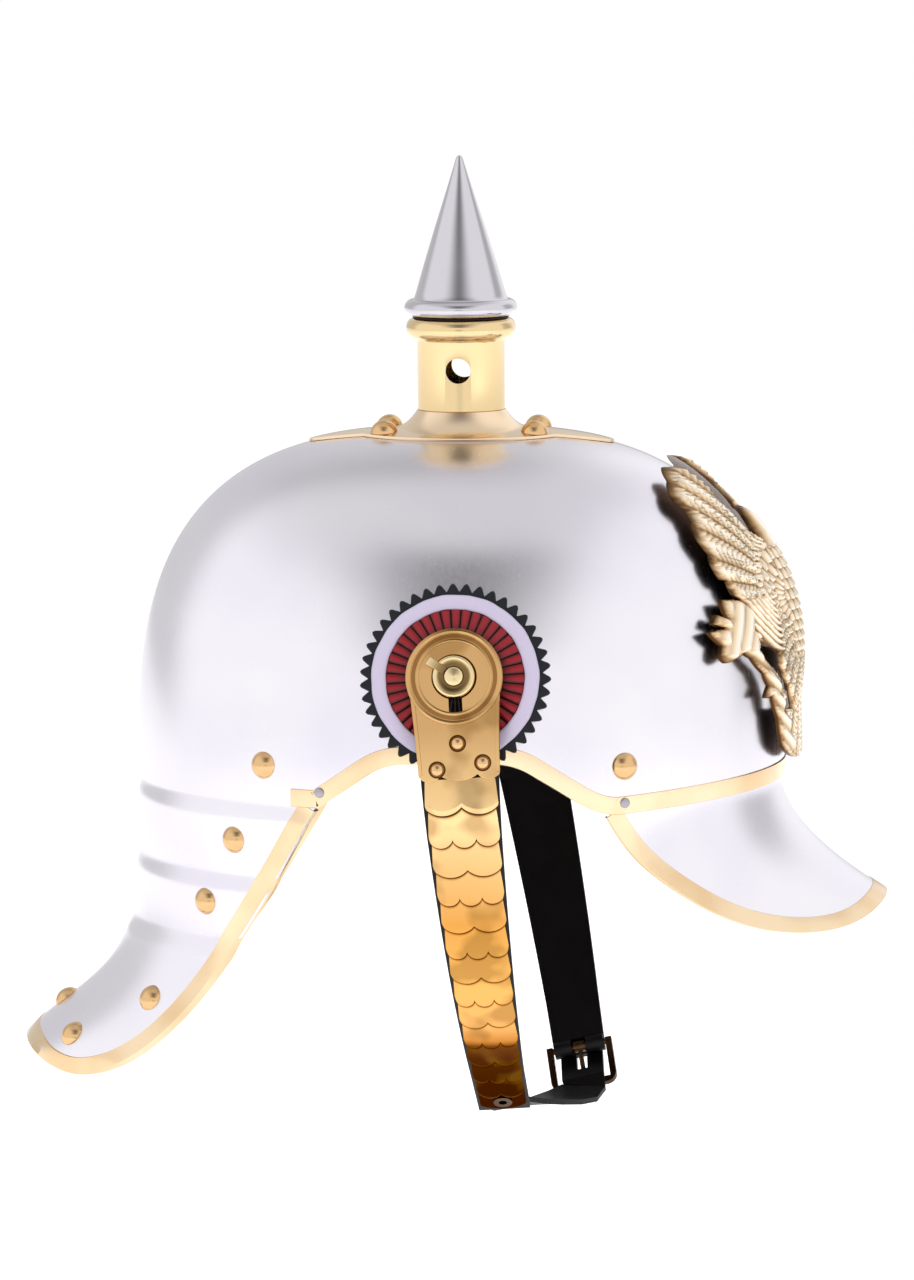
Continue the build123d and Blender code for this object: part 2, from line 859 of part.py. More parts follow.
def scale_rows(corners, leans):
    """The overlapping scalloped scales, two and three lobes in turn, each lifted clear of the next."""
    lift = 0.0
    rows = []
    for row in reversed(range(len(leans) - 1)):
        turn = leans[row + 2] - leans[row + 1] if row + 2 < len(leans) else 0.0
        after = math.sin(math.radians(lift - turn)) * scale_overlap
        clear = scale_gauge + scale_gap
        slope = max(clear / row_pitch, (clear + after) / (row_pitch + scale_overlap))
        lift = math.degrees(math.asin(slope))
        lobes = (0, 1 / 2, 1) if row % 2 == 0 else (0, 1 / 3, 2 / 3, 1)
        length = row_pitch + scale_overlap
        plate = extrude(lobed(scale_width(row), length, scale_lobe_depth, lobes), amount=scale_gauge)
        if row == 0:
            plate = plate - Box(2 * scale_top_width, 2 * head_clearance, 2 * scale_gauge)
        rows.append(run_plane(corners[row], leans[row + 1] - lift) * plate)
    return rows


def end_scale(corners, leans):
    """The last plate, flat on the strap, with a rounded foot and its eyelet's hole."""
    along, up = run_direction(leans[-1])
    point = (corners[-1][0] - along * end_scale_length, corners[-1][1] - up * end_scale_length)
    outline = lobed(scale_end_width, end_scale_length - strap_margin, scale_lobe_depth, (0, 1))
    outline = outline - Pos(0, -end_eyelet_drop) * Circle(end_eyelet_radius)
    seat = run_plane(point, leans[-1])
    return seat, seat * extrude(outline, amount=scale_gauge)


def eyelet(grip):
    """A tube eyelet with a flange either side of the strap."""
    flange = end_eyelet_radius * eyelet_flange_share
    tube = spun(
        Polyline(
            (end_eyelet_radius - eyelet_gauge, eyelet_gauge),
            (end_eyelet_radius - eyelet_gauge, -grip - eyelet_gauge),
            (flange, -grip - eyelet_gauge),
            (flange, -grip),
            (end_eyelet_radius, -grip),
            (end_eyelet_radius, 0),
            (flange, 0),
            (flange, eyelet_gauge),
            close=True,
        )
    )
    return tube


# Head plate of a chin strap
head_outline = lobed(head_foot_width, head_length, head_lobe_depth, head_lobe_shares) + Circle(head_radius)
shoulder = head_radius * head_shoulder_share
shoulder_drop = math.sqrt(head_radius**2 - shoulder**2)
foot_half = head_foot_width / 2
foot_drop = head_length - head_lobe_depth
head_outline = head_outline + make_face(
    Polyline(
        (shoulder, -shoulder_drop),
        (-shoulder, -shoulder_drop),
        (-foot_half, -foot_drop),
        (foot_half, -foot_drop),
        close=True,
    )
)
keyhole_slot = Rectangle(keyhole_slot_width, keyhole_slot_reach)
head_hole = Circle(keyhole_radius) + Pos(0, -keyhole_slot_reach / 2) * keyhole_slot
head_plate = extrude(head_outline - head_hole, amount=head_gauge)
head_rivet = extrude(Circle(head_rivet_radius), amount=head_rivet_height)
head_rivet = head_rivet + extrude(Circle(head_rivet_shank), amount=-head_gauge - strap_gauge)
head_rivets = [Pos(x, y, head_gauge) * head_rivet for x, y in head_rivet_places]
for one in head_rivets:
    head_plate = head_plate - one
head_plate = plate_seat * head_plate
head_rivets = [plate_seat * one for one in head_rivets]


def chin_strap(end_lean, rows, end_length):
    """Corners, leans, leather and scales of one side, hanging straight on the right."""
    corners, leans = strap_runs(end_lean, rows, end_length)
    strap = strap_solid(corners, leans)
    for one in head_rivets:
        strap = strap - one
    return corners, leans, strap, scale_rows(corners, leans)


chin_right = chin_strap(right_end_lean, row_count, end_scale_length)
corners_right, leans_right, strap_right, scales_right = chin_right
chin_left = chin_strap(left_end_lean, left_row_count, left_end_length)
corners_left, leans_left, strap_left, scales_left = chin_left
end_seat, end_plate = end_scale(corners_right, leans_right)
eyelet_seat = end_seat * Pos(0, -end_eyelet_drop, scale_gauge)
eyelet_piece = eyelet_seat * eyelet(scale_gauge + strap_gauge + tongue_gauge)
eyelet_hole = eyelet_seat * Cylinder(end_eyelet_radius, 2 * head_standoff)
strap_right = strap_right - eyelet_hole

# Buckle on the left strap's end, built on the right and mirrored
buckle_plane = run_plane(corners_left[-1], leans_left[-1]).offset(-strap_gauge / 2)
bar_radius = buckle_side / 2
window_half = buckle_width / 2 - buckle_side
window_length = buckle_length - buckle_side
frame_outline = Pos(0, bar_radius - (buckle_length + bar_radius) / 2) * Rectangle(
    buckle_width, buckle_length + bar_radius
)
frame_outline = fillet(frame_outline.vertices().group_by(Axis.Y)[0], buckle_corner)
window = Pos(0, bar_radius - window_length / 2) * Rectangle(2 * window_half, window_length + 2 * bar_radius)
frame_piece = extrude(frame_outline - window, amount=bar_radius, both=True)
across_bar = Rot(0, 90, 0)
frame_piece = frame_piece + across_bar * Cylinder(bar_radius, buckle_width)
loop = across_bar * Cylinder(bar_radius + strap_gauge, 2 * (window_half - buckle_clearance))
notch_width = 2 * (prong_turn_radius + buckle_clearance)
notch = Box(notch_width, buckle_length, buckle_length)
notch = Pos(0, prong_turn_radius + buckle_clearance - buckle_length / 2) * notch
strap_left = strap_left + buckle_plane * loop
strap_left = strap_left - buckle_plane * (across_bar * Cylinder(bar_radius, buckle_width))
strap_left = strap_left - buckle_plane * notch
prong_lift = math.degrees(math.atan2(2 * prong_radius + buckle_clearance + bar_radius / 2, window_length))
prong = across_bar * Cylinder(prong_turn_radius, 2 * prong_turn_radius)
prong_rod = Rot(90 - prong_lift, 0, 0) * extrude(Circle(prong_radius), amount=buckle_length + prong_radius)
prong = prong + prong_rod - across_bar * Cylinder(bar_radius + prong_fit, buckle_width)
prong_piece = buckle_plane * prong
frame_piece = buckle_plane * frame_piece


# Swing of a strap about the axis through both posts, and the leather tongue between the two straps
def swing(vector, angle):
    turn = math.radians(angle)
    x, y, z = vector
    return Vector(x * math.cos(turn) - z * math.sin(turn), y, x * math.sin(turn) + z * math.cos(turn))


def swung_frame(plane, angle, side):
    """Origin, across, up-strap and outward directions of a plane after its strap's swing."""
    middle = Vector(hinge.X, 0, hinge.Z)
    spots = []
    for vector in (plane.origin - middle, plane.x_dir, plane.y_dir, plane.z_dir):
        spots.append(swing((vector.X, -side * vector.Y, vector.Z), angle))
    return [spots[0] + middle, *spots[1:]]


right_frame = swung_frame(run_plane(corners_right[-1], leans_right[-1]), swing_right, -1)
left_frame = swung_frame(buckle_plane, swing_left, 1)


def station(frame, down, out):
    """Middle, across and outward directions of a tongue section in a strap's frame."""
    origin, over, up, outward = frame
    return origin - up * down + outward * out, over, outward


under = -strap_gauge - tongue_gauge / 2
stations = [
    station(right_frame, -tongue_root, under),
    station(right_frame, 0, under),
]
approach = [
    station(left_frame, buckle_length + tongue_gauge, tongue_dip),
    station(left_frame, window_length, tongue_dip),
    station(left_frame, 0, tongue_rise),
    station(left_frame, -tongue_tail, tongue_rise),
]
start, finish = stations[-1], approach[0]
for step in range(1, tongue_steps):
    share = step / tongue_steps
    bend = (share**3 - 2 * share**2 + share, share**3 - share**2)
    ease = 3 * share**2 - 2 * share**3
    out_tangent = -right_frame[2] * tongue_pull
    in_tangent = left_frame[2] * tongue_pull
    middle = start[0] * (1 - ease) + finish[0] * ease + out_tangent * bend[0] + in_tangent * bend[1]
    over = (start[1] * (1 - share) + finish[1] * share).normalized()
    outward = (start[2] * (1 - share) + finish[2] * share).normalized()
    stations.append((middle, over, outward))
stations += approach
tongue_faces = []
for place, (middle, over, outward) in enumerate(stations):
    before = stations[max(place - 1, 0)][0]
    after = stations[min(place + 1, len(stations) - 1)][0]
    along = (after - before).normalized()
    outward = (outward - along * outward.dot(along)).normalized()
    over = along.cross(outward).normalized()
    seat = Plane(origin=middle, x_dir=over, z_dir=along)
    tongue_faces.append((seat * Rectangle(tongue_width, tongue_gauge)).face())
tongue = loft(tongue_faces, ruled=True)
hinge_axis = Axis((hinge.X, 0, hinge.Z), (0, -1, 0))
slot_from, slot_to = tongue_slot_shares
slot_middle = (slot_from + slot_to) / 2 * window_length
slot = Box(tongue_slot_width, (slot_to - slot_from) * window_length, 2 * buckle_length)
slot = mirror(buckle_plane * (Pos(0, -slot_middle, 0) * slot), about=Plane.XZ)
slot = slot.rotate(hinge_axis, swing_left)
tongue = tongue - slot - eyelet_hole.rotate(hinge_axis, swing_right)


def right_swung(part):
    return part.rotate(hinge_axis, swing_right)


def left_swung(part):
    return mirror(part, about=Plane.XZ).rotate(hinge_axis, swing_left)


# Front plate: a displayed eagle in half outline, mirrored, its studs and nuts
def eagle_points(shares, side):
    return [(side * y * eagle_half_width, eagle_foot + z * eagle_height) for y, z in shares]


half_outline = eagle_outline_shares
outline_points = eagle_points(half_outline, 1) + list(reversed(eagle_points(half_outline[1:-1], -1)))
eagle_face = make_face(Polyline(*outline_points, close=True))
for side in (-1, 1):
    eagle_face = eagle_face - make_face(Polyline(*eagle_points(eagle_window_shares, side), close=True))
eagle_bar = extrude(Plane.YZ * eagle_face, amount=visor_reach)
eagle = dome_shell(eagle_standoff + eagle_gauge, eagle_standoff) & eagle_bar
stud = extrude(Circle(eagle_stud_radius), amount=eagle_standoff + eagle_gauge / 2)
stud = stud + extrude(Circle(eagle_stud_radius), amount=-skull_gauge - small_nut_height - seam_gap)
eagle_studs = [seat * stud - eagle for seat in stud_seats]
small_nut = nut(small_nut_flats, small_nut_height, eagle_stud_radius, skull_gauge + nut_sag)
eagle_nuts = [seat * small_nut for seat in stud_seats]

# Base bolts with their nuts
bolt_grip = 2 * seam_gap + base_gauge + skull_gauge + nut_sag + nut_height
base_bolt = rivet(bolt_grip, base_bolt_radius, base_bolt_height, base_bolt_shank)
base_nut = nut(nut_flats, nut_height, base_bolt_shank, seam_gap + base_gauge + skull_gauge + nut_sag)
base_bolts = [seat * base_bolt for seat in bolt_seats]
base_nuts = [seat * base_nut for seat in bolt_seats]

# Leather liner: sweatband, its fingers and the lace through their tips
liner_stand = 2 * (skull_gauge + seam_gap)
band_bar = Plane.XY.offset(liner_low) * Rectangle(2 * visor_reach, 2 * visor_reach)
band_bar = extrude(band_bar, amount=liner_high - liner_low)
sweatband = (dome(-liner_stand) - dome(-liner_stand - liner_gauge)) & band_bar
sweatband = sweatband - across(Plane.XZ * offset(rim_cut, edge_width + liner_arch_margin))


def finger_axes(z, grow=0.0):
    """The sweatband's inner face, drawn in towards the mouth above the band."""
    length, width = skull_axes(z, grow - liner_stand - liner_gauge - seam_gap)
    rise = max(z - liner_high, 0) / (finger_top - liner_high)
    draw = 1 - finger_draw_share * rise**finger_draw_power
    return length * draw, width * draw


finger_heights = [finger_low + share * (finger_top - finger_low) for share in finger_height_shares]
fingers = oval_loft(finger_axes, finger_heights) - oval_loft(finger_axes, finger_heights, -finger_gauge)
for step in range(finger_count // 2):
    gap = Pos(0, 0, liner_high + skull_height / 2) * Box(3 * skull_half_length, finger_gap, skull_height)
    fingers = fingers - Rot(0, 0, 180 * (step + 1 / 2) / (finger_count // 2)) * gap
fingers = fingers.solids() if len(fingers.solids()) > 1 else [fingers]
mouth_length, mouth_width = finger_axes(finger_top, -finger_gauge / 2)
lace_points = [
    (mouth_length * math.cos(turn), mouth_width * math.sin(turn))
    for turn in (2 * math.pi * step / finger_count for step in range(finger_count))
]
lace_path = make_face(Polyline(*lace_points, close=True))
lace = extrude(offset(lace_path, lace_radius) - offset(lace_path, -lace_radius), amount=2 * lace_radius)
lace = Pos(0, 0, finger_top) * lace

# Rivets and pins
skull_grip = liner_stand + liner_gauge
skull_rivets = [seat * rivet(skull_grip) for seat in skull_rivet_seats]
lame_rivets = [seat * rivet(2 * skull_gauge + seam_gap) for seat in lame_rivet_seats]
guard_rivets = [seat * rivet(skull_gauge, lift=guard_rivet_gap) for seat in guard_rivet_seats]
pin = extrude(Circle(pin_head_radius), amount=pin_head_height)
pin = pin + extrude(Circle(pin_head_radius / 2), amount=-skull_gauge - edge_gauge)
ear_pins = [seat * pin for seat in rear_pin_seats + front_pin_seats]

# Every hole drilled through the sheets
skull = drilled(
    skull,
    (skull_rivet_seats, rivet_shank_radius),
    (stud_seats, eagle_stud_radius),
    (bolt_seats, base_bolt_shank),
    ((post_seat, post_seat_left), post_bolt_radius),
    (rear_pin_seats + front_pin_seats, pin_head_radius / 2),
)
visor = drilled(visor, (skull_rivet_seats, rivet_shank_radius), (front_pin_seats, pin_head_radius / 2))
lame_upper = drilled(lame_upper, (skull_rivet_seats + lame_rivet_seats, rivet_shank_radius))
lame_lower = drilled(lame_lower, (lame_rivet_seats, rivet_shank_radius))
neck_guard = drilled(neck_guard, (lame_rivet_seats + guard_rivet_seats, rivet_shank_radius))
sweatband = drilled(sweatband, (skull_rivet_seats, rivet_shank_radius))
base_plate = drilled(base_plate, (bolt_seats, base_bolt_shank))
ear_edges = drilled(ear_edges, (rear_pin_seats, pin_head_radius / 2))
brow_band = drilled(brow_band, (front_pin_seats, pin_head_radius / 2))

save("skull", skull)
save("visor", visor)
save("visor_edge", visor_edge_piece)
save("lame_upper", lame_upper)
save("lame_lower", lame_lower)
save("neck_guard", neck_guard)
save("neck_guard_edge", neck_guard_edge)
ear_sides = ear_edges.solids().sort_by(Axis.Y)
save("ear_edge_right", ear_sides[0])
save("ear_edge_left", ear_sides[-1])
save("brow_band", brow_band)
save("skull_rivets", *skull_rivets)
save("lame_rivets", *lame_rivets)
save("neck_guard_rivets", *guard_rivets)
save("ear_pins", *ear_pins)
save("spike_base_plate", base_plate)
save("base_bolts", *base_bolts)
save("base_nuts", *base_nuts)
save("spike_neck", on_axis * neck)
save("spike_washer", on_axis * Pos(0, 0, neck_top) * washer)
save("spike", on_axis * spike)
save("side_posts", *both_sides(side_post))
save("side_post_nuts", *both_sides(post_nut))
for name, piece in zip(("disc", "ring", "centre"), cockade):
    right, left = both_sides(piece)
    save(f"cockade_{name}_right", right)
    save(f"cockade_{name}_left", left)
save("front_plate", eagle)
save("front_plate_studs", *eagle_studs)
save("front_plate_nuts", *eagle_nuts)
save("sweatband", sweatband)
save("liner_fingers", *fingers)
save("liner_lace", lace)
save("head_plate_right", right_swung(head_plate))
save("head_plate_left", left_swung(head_plate))
save("head_rivets_right", *[right_swung(one) for one in head_rivets])
save("head_rivets_left", *[left_swung(one) for one in head_rivets])
save("chin_strap_right", right_swung(strap_right))
save("chin_strap_left", left_swung(strap_left))
save("chin_scales_right", *[right_swung(one) for one in scales_right])
save("chin_scales_left", *[left_swung(one) for one in scales_left])
save("end_scale", right_swung(end_plate))
save("end_eyelet", right_swung(eyelet_piece))
save("chin_tongue", tongue)
save("buckle_frame", left_swung(frame_piece))
save("buckle_prong", left_swung(prong_piece))
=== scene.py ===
import json
import math

import bpy
import numpy as np
from mathutils import Matrix, Vector
from mathutils.geometry import delaunay_2d_cdt


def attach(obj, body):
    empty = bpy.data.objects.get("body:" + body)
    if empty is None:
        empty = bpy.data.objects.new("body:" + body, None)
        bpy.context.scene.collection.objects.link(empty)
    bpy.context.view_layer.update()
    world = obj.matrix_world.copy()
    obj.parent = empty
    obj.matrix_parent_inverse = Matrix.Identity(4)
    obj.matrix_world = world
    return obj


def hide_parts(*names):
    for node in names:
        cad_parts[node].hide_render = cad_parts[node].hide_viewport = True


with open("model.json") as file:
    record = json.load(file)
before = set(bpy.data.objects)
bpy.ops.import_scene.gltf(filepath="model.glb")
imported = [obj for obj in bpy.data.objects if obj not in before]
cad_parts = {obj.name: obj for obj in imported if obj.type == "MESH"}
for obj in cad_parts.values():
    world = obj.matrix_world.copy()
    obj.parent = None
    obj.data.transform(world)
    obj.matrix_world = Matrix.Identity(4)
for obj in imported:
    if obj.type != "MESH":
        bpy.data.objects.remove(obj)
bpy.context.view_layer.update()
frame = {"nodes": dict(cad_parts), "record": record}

MM = 0.001
nodes = frame["nodes"]
scene = bpy.context.scene
scene.view_settings.view_transform = "Standard"

# Camera at the right side, a little to the front and a little above
CAMERA_TURN = 4.5
CAMERA_RISE = 7.3
CAMERA_ROLL = -0.5
CAMERA_DISTANCE = 2.2
CAMERA_TARGET = Vector((-0.0012, 0.0, 0.0482))
CAMERA_SENSOR = 36.0
# How much of the target's plane the picture's height shows, in metres
SPAN = 0.47104


def place_camera():
    turn = math.radians(CAMERA_TURN)
    rise = math.radians(CAMERA_RISE)
    roll = math.radians(CAMERA_ROLL)
    back = Vector((math.sin(turn) * math.cos(rise), -math.cos(turn) * math.cos(rise), math.sin(rise)))
    right = Vector((math.cos(turn), math.sin(turn), 0.0))
    up = back.cross(right)
    across = right * math.cos(roll) + up * math.sin(roll)
    above = up * math.cos(roll) - right * math.sin(roll)
    lens = bpy.data.cameras.new("camera")
    lens.sensor_fit = "VERTICAL"
    lens.sensor_height = CAMERA_SENSOR
    lens.lens = CAMERA_SENSOR * CAMERA_DISTANCE / SPAN
    lens.clip_end = 50.0
    camera = bpy.data.objects.new("camera", lens)
    basis = Matrix((across, above, back)).transposed().to_4x4()
    camera.matrix_world = Matrix.Translation(CAMERA_TARGET + back * CAMERA_DISTANCE) @ basis
    scene.collection.objects.link(camera)
    scene.camera = camera


place_camera()


# Colour and materials
def linear(hex_value):
    """An sRGB hex colour as linear red, green, blue, alpha."""
    parts = [((hex_value >> shift) & 255) / 255 for shift in (16, 8, 0)]
    return [v / 12.92 if v <= 0.04045 else ((v + 0.055) / 1.055) ** 2.4 for v in parts] + [1.0]


def add(tree, kind, settings=(), feeds=None):
    """A node with its settings: attributes, colour stops, input values, and sockets, which are linked to it.
    Its first output feeds a socket where one is given."""
    node = tree.nodes.new(kind)
    for name, value in settings:
        if name == "stops":
            first, *between, last = value
            for element, (stop, colour) in zip(node.color_ramp.elements, (first, last)):
                element.position = stop
                element.color = linear(colour)
            for stop, colour in between:
                node.color_ramp.elements.new(stop).color = linear(colour)
        elif isinstance(value, bpy.types.NodeSocket):
            tree.links.new(value, node.inputs[name])
        elif isinstance(name, str) and hasattr(node, name):
            setattr(node, name, value)
        else:
            node.inputs[name].default_value = value
    if feeds is not None:
        tree.links.new(node.outputs[0], feeds)
    return node


def repeat(size):
    """How many times a pattern of a size in millimetres comes in a metre."""
    return 1 / (size * MM)


def new_material(name, colour, metallic, roughness):
    material = bpy.data.materials.new(name)
    material.use_nodes = True
    shader = material.node_tree.nodes["Principled BSDF"]
    shader.inputs["Base Color"].default_value = linear(colour)
    shader.inputs["Metallic"].default_value = metallic
    shader.inputs["Roughness"].default_value = roughness
    return material, material.node_tree, shader


def sheet_steel():
    """Satin polished sheet steel: soft broad reflections, fine vertical polishing streaks."""
    material, tree, shader = new_material("satin_steel", 0xE9E5EE, 1.0, 0.22)
    place = add(tree, "ShaderNodeTexCoord").outputs["Object"]
    # Polishing streaks, 1.1 mm wide and drawn out to 37 mm
    drawn = add(tree, "ShaderNodeMapping", [("Vector", place), ("Scale", (1.0, 1.0, 0.03))]).outputs[0]
    streak = add(tree, "ShaderNodeTexNoise", [("Vector", drawn), ("Scale", repeat(1.111)), ("Detail", 2.0)])
    marks = streak.outputs["Fac"]
    satin = [("Value", marks), ("To Min", 0.2), ("To Max", 0.3)]
    add(tree, "ShaderNodeMapRange", satin, shader.inputs["Roughness"])
    # The blue of the sheet comes and goes over 56 mm
    cloud = add(tree, "ShaderNodeTexNoise", [("Vector", place), ("Scale", repeat(55.56)), ("Detail", 2.0)])
    tones = [("Fac", cloud.outputs["Fac"]), ("stops", [(0.3, 0xE4E0EB), (0.7, 0xEDEAF0)])]
    add(tree, "ShaderNodeValToRGB", tones, shader.inputs["Base Color"])
    relief = [("Height", marks), ("Strength", 0.05), ("Distance", 0.05 * MM)]
    add(tree, "ShaderNodeBump", relief, shader.inputs["Normal"])
    return material


def turned_steel():
    """Turned steel: rings from the lathe round the spike."""
    material, tree, shader = new_material("turned_steel", 0xCCC9D0, 1.0, 0.12)
    place = add(tree, "ShaderNodeTexCoord").outputs["Object"]
    # The tool's rings, 0.8 mm high
    drawn = add(tree, "ShaderNodeMapping", [("Vector", place), ("Scale", (0.03, 0.03, 1.0))]).outputs[0]
    rings = add(tree, "ShaderNodeTexNoise", [("Vector", drawn), ("Scale", repeat(0.8333)), ("Detail", 2.0)])
    relief = [("Height", rings.outputs["Fac"]), ("Strength", 0.08), ("Distance", 0.05 * MM)]
    add(tree, "ShaderNodeBump", relief, shader.inputs["Normal"])
    return material


def brass(name, colour, roughness, grain=0.06, dark=None):
    """Polished brass: warm clear reflections, with faint hand-polishing marks and tarnish in patches."""
    material, tree, shader = new_material(name, colour, 1.0, roughness)
    place = add(tree, "ShaderNodeTexCoord").outputs["Object"]
    # Marks of the polishing rag, 1.4 mm apart
    marks = add(tree, "ShaderNodeTexNoise", [("Vector", place), ("Scale", repeat(1.4286)), ("Detail", 3.0)])
    relief = [("Height", marks.outputs["Fac"]), ("Strength", grain), ("Distance", 0.06 * MM)]
    add(tree, "ShaderNodeBump", relief, shader.inputs["Normal"])
    if dark is not None:
        # Tarnish in patches of 33 mm
        spots = [("Vector", place), ("Scale", repeat(33.33)), ("Detail", 2.0)]
        patch = add(tree, "ShaderNodeTexNoise", spots)
        tones = [("Fac", patch.outputs["Fac"]), ("stops", [(0.38, dark), (0.62, colour)])]
        add(tree, "ShaderNodeValToRGB", tones, shader.inputs["Base Color"])
    return material


def enamel(name, colour, roughness):
    """Hand-laid enamel paint: soft sheen and slightly uneven surface."""
    material, tree, shader = new_material(name, colour, 0.0, roughness)
    shader.inputs["Specular IOR Level"].default_value = 0.3
    place = add(tree, "ShaderNodeTexCoord").outputs["Object"]
    # Brush waves, 2 mm apart
    waves = add(tree, "ShaderNodeTexNoise", [("Vector", place), ("Scale", repeat(2.0)), ("Detail", 3.0)])
    relief = [("Height", waves.outputs["Fac"]), ("Strength", 0.25), ("Distance", 0.1 * MM)]
    add(tree, "ShaderNodeBump", relief, shader.inputs["Normal"])
    return material


def pleat_enamel():
    """Crimson enamel on the pleated centre, with painted shade in the folds and painted shadow round the
    post, under the head plate.
    """
    material, tree, shader = new_material("crimson_enamel", 0x8A1420, 0.0, 0.32)
    shader.inputs["Specular IOR Level"].default_value = 0.35
    groove = add(tree, "ShaderNodeAttribute", [("attribute_name", "groove")]).outputs["Fac"]
    stops = [(0.0, 0x9A1A26), (0.55, 0x74101A), (0.85, 0x2E0708), (1.0, 0x120403)]
    add(tree, "ShaderNodeValToRGB", [("Fac", groove), ("stops", stops)], shader.inputs["Base Color"])
    return material


def leather(name, colour, roughness, light):
    """Smooth leather: fine grain and a dull sheen, paler where it is worn."""
    material, tree, shader = new_material(name, colour, 0.0, roughness)
    shader.inputs["Specular IOR Level"].default_value = 0.25
    place = add(tree, "ShaderNodeTexCoord").outputs["Object"]
    # Wear in patches of 17 mm, and pores 0.7 mm apart
    wear = add(tree, "ShaderNodeTexNoise", [("Vector", place), ("Scale", repeat(16.67)), ("Detail", 3.0)])
    tones = [("Fac", wear.outputs["Fac"]), ("stops", [(0.35, colour), (0.75, light)])]
    add(tree, "ShaderNodeValToRGB", tones, shader.inputs["Base Color"])
    pores = add(tree, "ShaderNodeTexVoronoi", [("Scale", repeat(0.6667))])
    relief = [("Height", pores.outputs["Distance"]), ("Strength", 0.2), ("Distance", 0.1 * MM)]
    add(tree, "ShaderNodeBump", relief, shader.inputs["Normal"])
    return material


def gilt_brass():
    """Stamped and gilt brass: pale gold on the raised feathers, brown patina left in the recesses."""
    material, tree, shader = new_material("gilt_brass", 0xEBD9AE, 1.0, 0.26)
    place = add(tree, "ShaderNodeTexCoord").outputs["Object"]
    raised = add(tree, "ShaderNodeAttribute", [("attribute_name", "raised")]).outputs["Fac"]
    stops = [(0.0, 0x50361F), (0.22, 0xA88660), (0.45, 0xDEC3A0), (0.75, 0xF5E4CA), (1.0, 0xFDF4E8)]
    add(tree, "ShaderNodeValToRGB", [("Fac", raised), ("stops", stops)], shader.inputs["Base Color"])
    # Marks of the burnisher, 1.1 mm apart
    marks = add(tree, "ShaderNodeTexNoise", [("Vector", place), ("Scale", repeat(1.111)), ("Detail", 2.0)])
    relief = [("Height", marks.outputs["Fac"]), ("Strength", 0.1), ("Distance", 0.08 * MM)]
    add(tree, "ShaderNodeBump", relief, shader.inputs["Normal"])
    return material


def post_brass():
    """Turned brass: the rim and the core worn bright, tarnish left in the dish between them."""
    material, tree, shader = new_material("post_brass", 0xC9A878, 1.0, 0.24)
    place = add(tree, "ShaderNodeTexCoord").outputs["Object"]
    worn = add(tree, "ShaderNodeAttribute", [("attribute_name", "worn")]).outputs["Fac"]
    stops = [(0.0, 0x7C6440), (0.4, 0xA58A5C), (1.0, 0xE9D3A4)]
    add(tree, "ShaderNodeValToRGB", [("Fac", worn), ("stops", stops)], shader.inputs["Base Color"])
    # Marks of the polishing rag, 1.4 mm apart
    marks = add(tree, "ShaderNodeTexNoise", [("Vector", place), ("Scale", repeat(1.4286)), ("Detail", 3.0)])
    relief = [("Height", marks.outputs["Fac"]), ("Strength", 0.12), ("Distance", 0.06 * MM)]
    add(tree, "ShaderNodeBump", relief, shader.inputs["Normal"])
    return material


def scale_brass():
    """Polished scale brass: deep yellow with olive tarnish, darker brown towards the strap's lower end, and
    painted shade where the rows lap.
    """
    material, tree, shader = new_material("scale_brass", 0xE6B464, 1.0, 0.15)
    shader.inputs["Specular Tint"].default_value = linear(0xD8C0A8)
    place = add(tree, "ShaderNodeTexCoord").outputs["Object"]
    # The tone along the hang, from 130 mm under the rim to 30 mm over it: darker brown towards the lower end,
    # and a darker band on the middle rows that is a painted reflection
    height = add(tree, "ShaderNodeSeparateXYZ", [("Vector", place)]).outputs["Z"]
    hang = [("Value", height), ("From Min", -130 * MM), ("From Max", 30 * MM)]
    fall = add(tree, "ShaderNodeMapRange", hang).outputs["Result"]
    brown_low = [(0.0, 0x260E05), (0.12, 0x351508), (0.2, 0x4A230E), (0.235, 0x6C3C18), (0.25, 0xC9843C)]
    yellow = [(0.29, 0xECB068), (0.4, 0xEEB362), (0.55, 0xDC9C4C), (0.7, 0xE6BA7C), (0.8, 0xF2CC94)]
    top = [(0.88, 0xE6BF86), (1.0, 0xCCA26C)]
    tones = add(tree, "ShaderNodeValToRGB", [("Fac", fall), ("stops", brown_low + yellow + top)])
    # Olive tarnish in patches of 18 mm
    patch = add(tree, "ShaderNodeTexNoise", [("Vector", place), ("Scale", repeat(18.18)), ("Detail", 2.0)])
    cover = [("Fac", patch.outputs["Fac"]), ("stops", [(0.52, 0x000000), (0.64, 0xB4B4B4)])]
    share = add(tree, "ShaderNodeValToRGB", cover).outputs["Color"]
    stain_and_shade = [("data_type", "RGBA"), (0, share), (6, tones.outputs["Color"]), (7, linear(0x80581E))]
    stained = add(tree, "ShaderNodeMix", stain_and_shade).outputs[2]
    # Painted shade: the shadow where one row laps over the next, and in the head plate's groove and round its
    # rivets
    lap = add(tree, "ShaderNodeAttribute", [("attribute_name", "lap")]).outputs["Fac"]
    stops = [(0.0, 0xFFFFFF), (0.35, 0xE4DACA), (0.62, 0x8A6A44), (0.85, 0x3A200E), (1.0, 0x160A04)]
    shade = add(tree, "ShaderNodeValToRGB", [("Fac", lap), ("stops", stops)]).outputs["Color"]
    darkened = [("data_type", "RGBA"), ("blend_type", "MULTIPLY"), (0, 1.0), (6, stained), (7, shade)]
    lined = add(tree, "ShaderNodeMix", darkened).outputs[2]
    tree.links.new(lined, shader.inputs["Base Color"])
    # Marks of the polishing rag, 2 mm apart
    marks = add(tree, "ShaderNodeTexNoise", [("Vector", place), ("Scale", repeat(2.0)), ("Detail", 3.0)])
    relief = [("Height", marks.outputs["Fac"]), ("Strength", 0.05), ("Distance", 0.1 * MM)]
    add(tree, "ShaderNodeBump", relief, shader.inputs["Normal"])
    return material


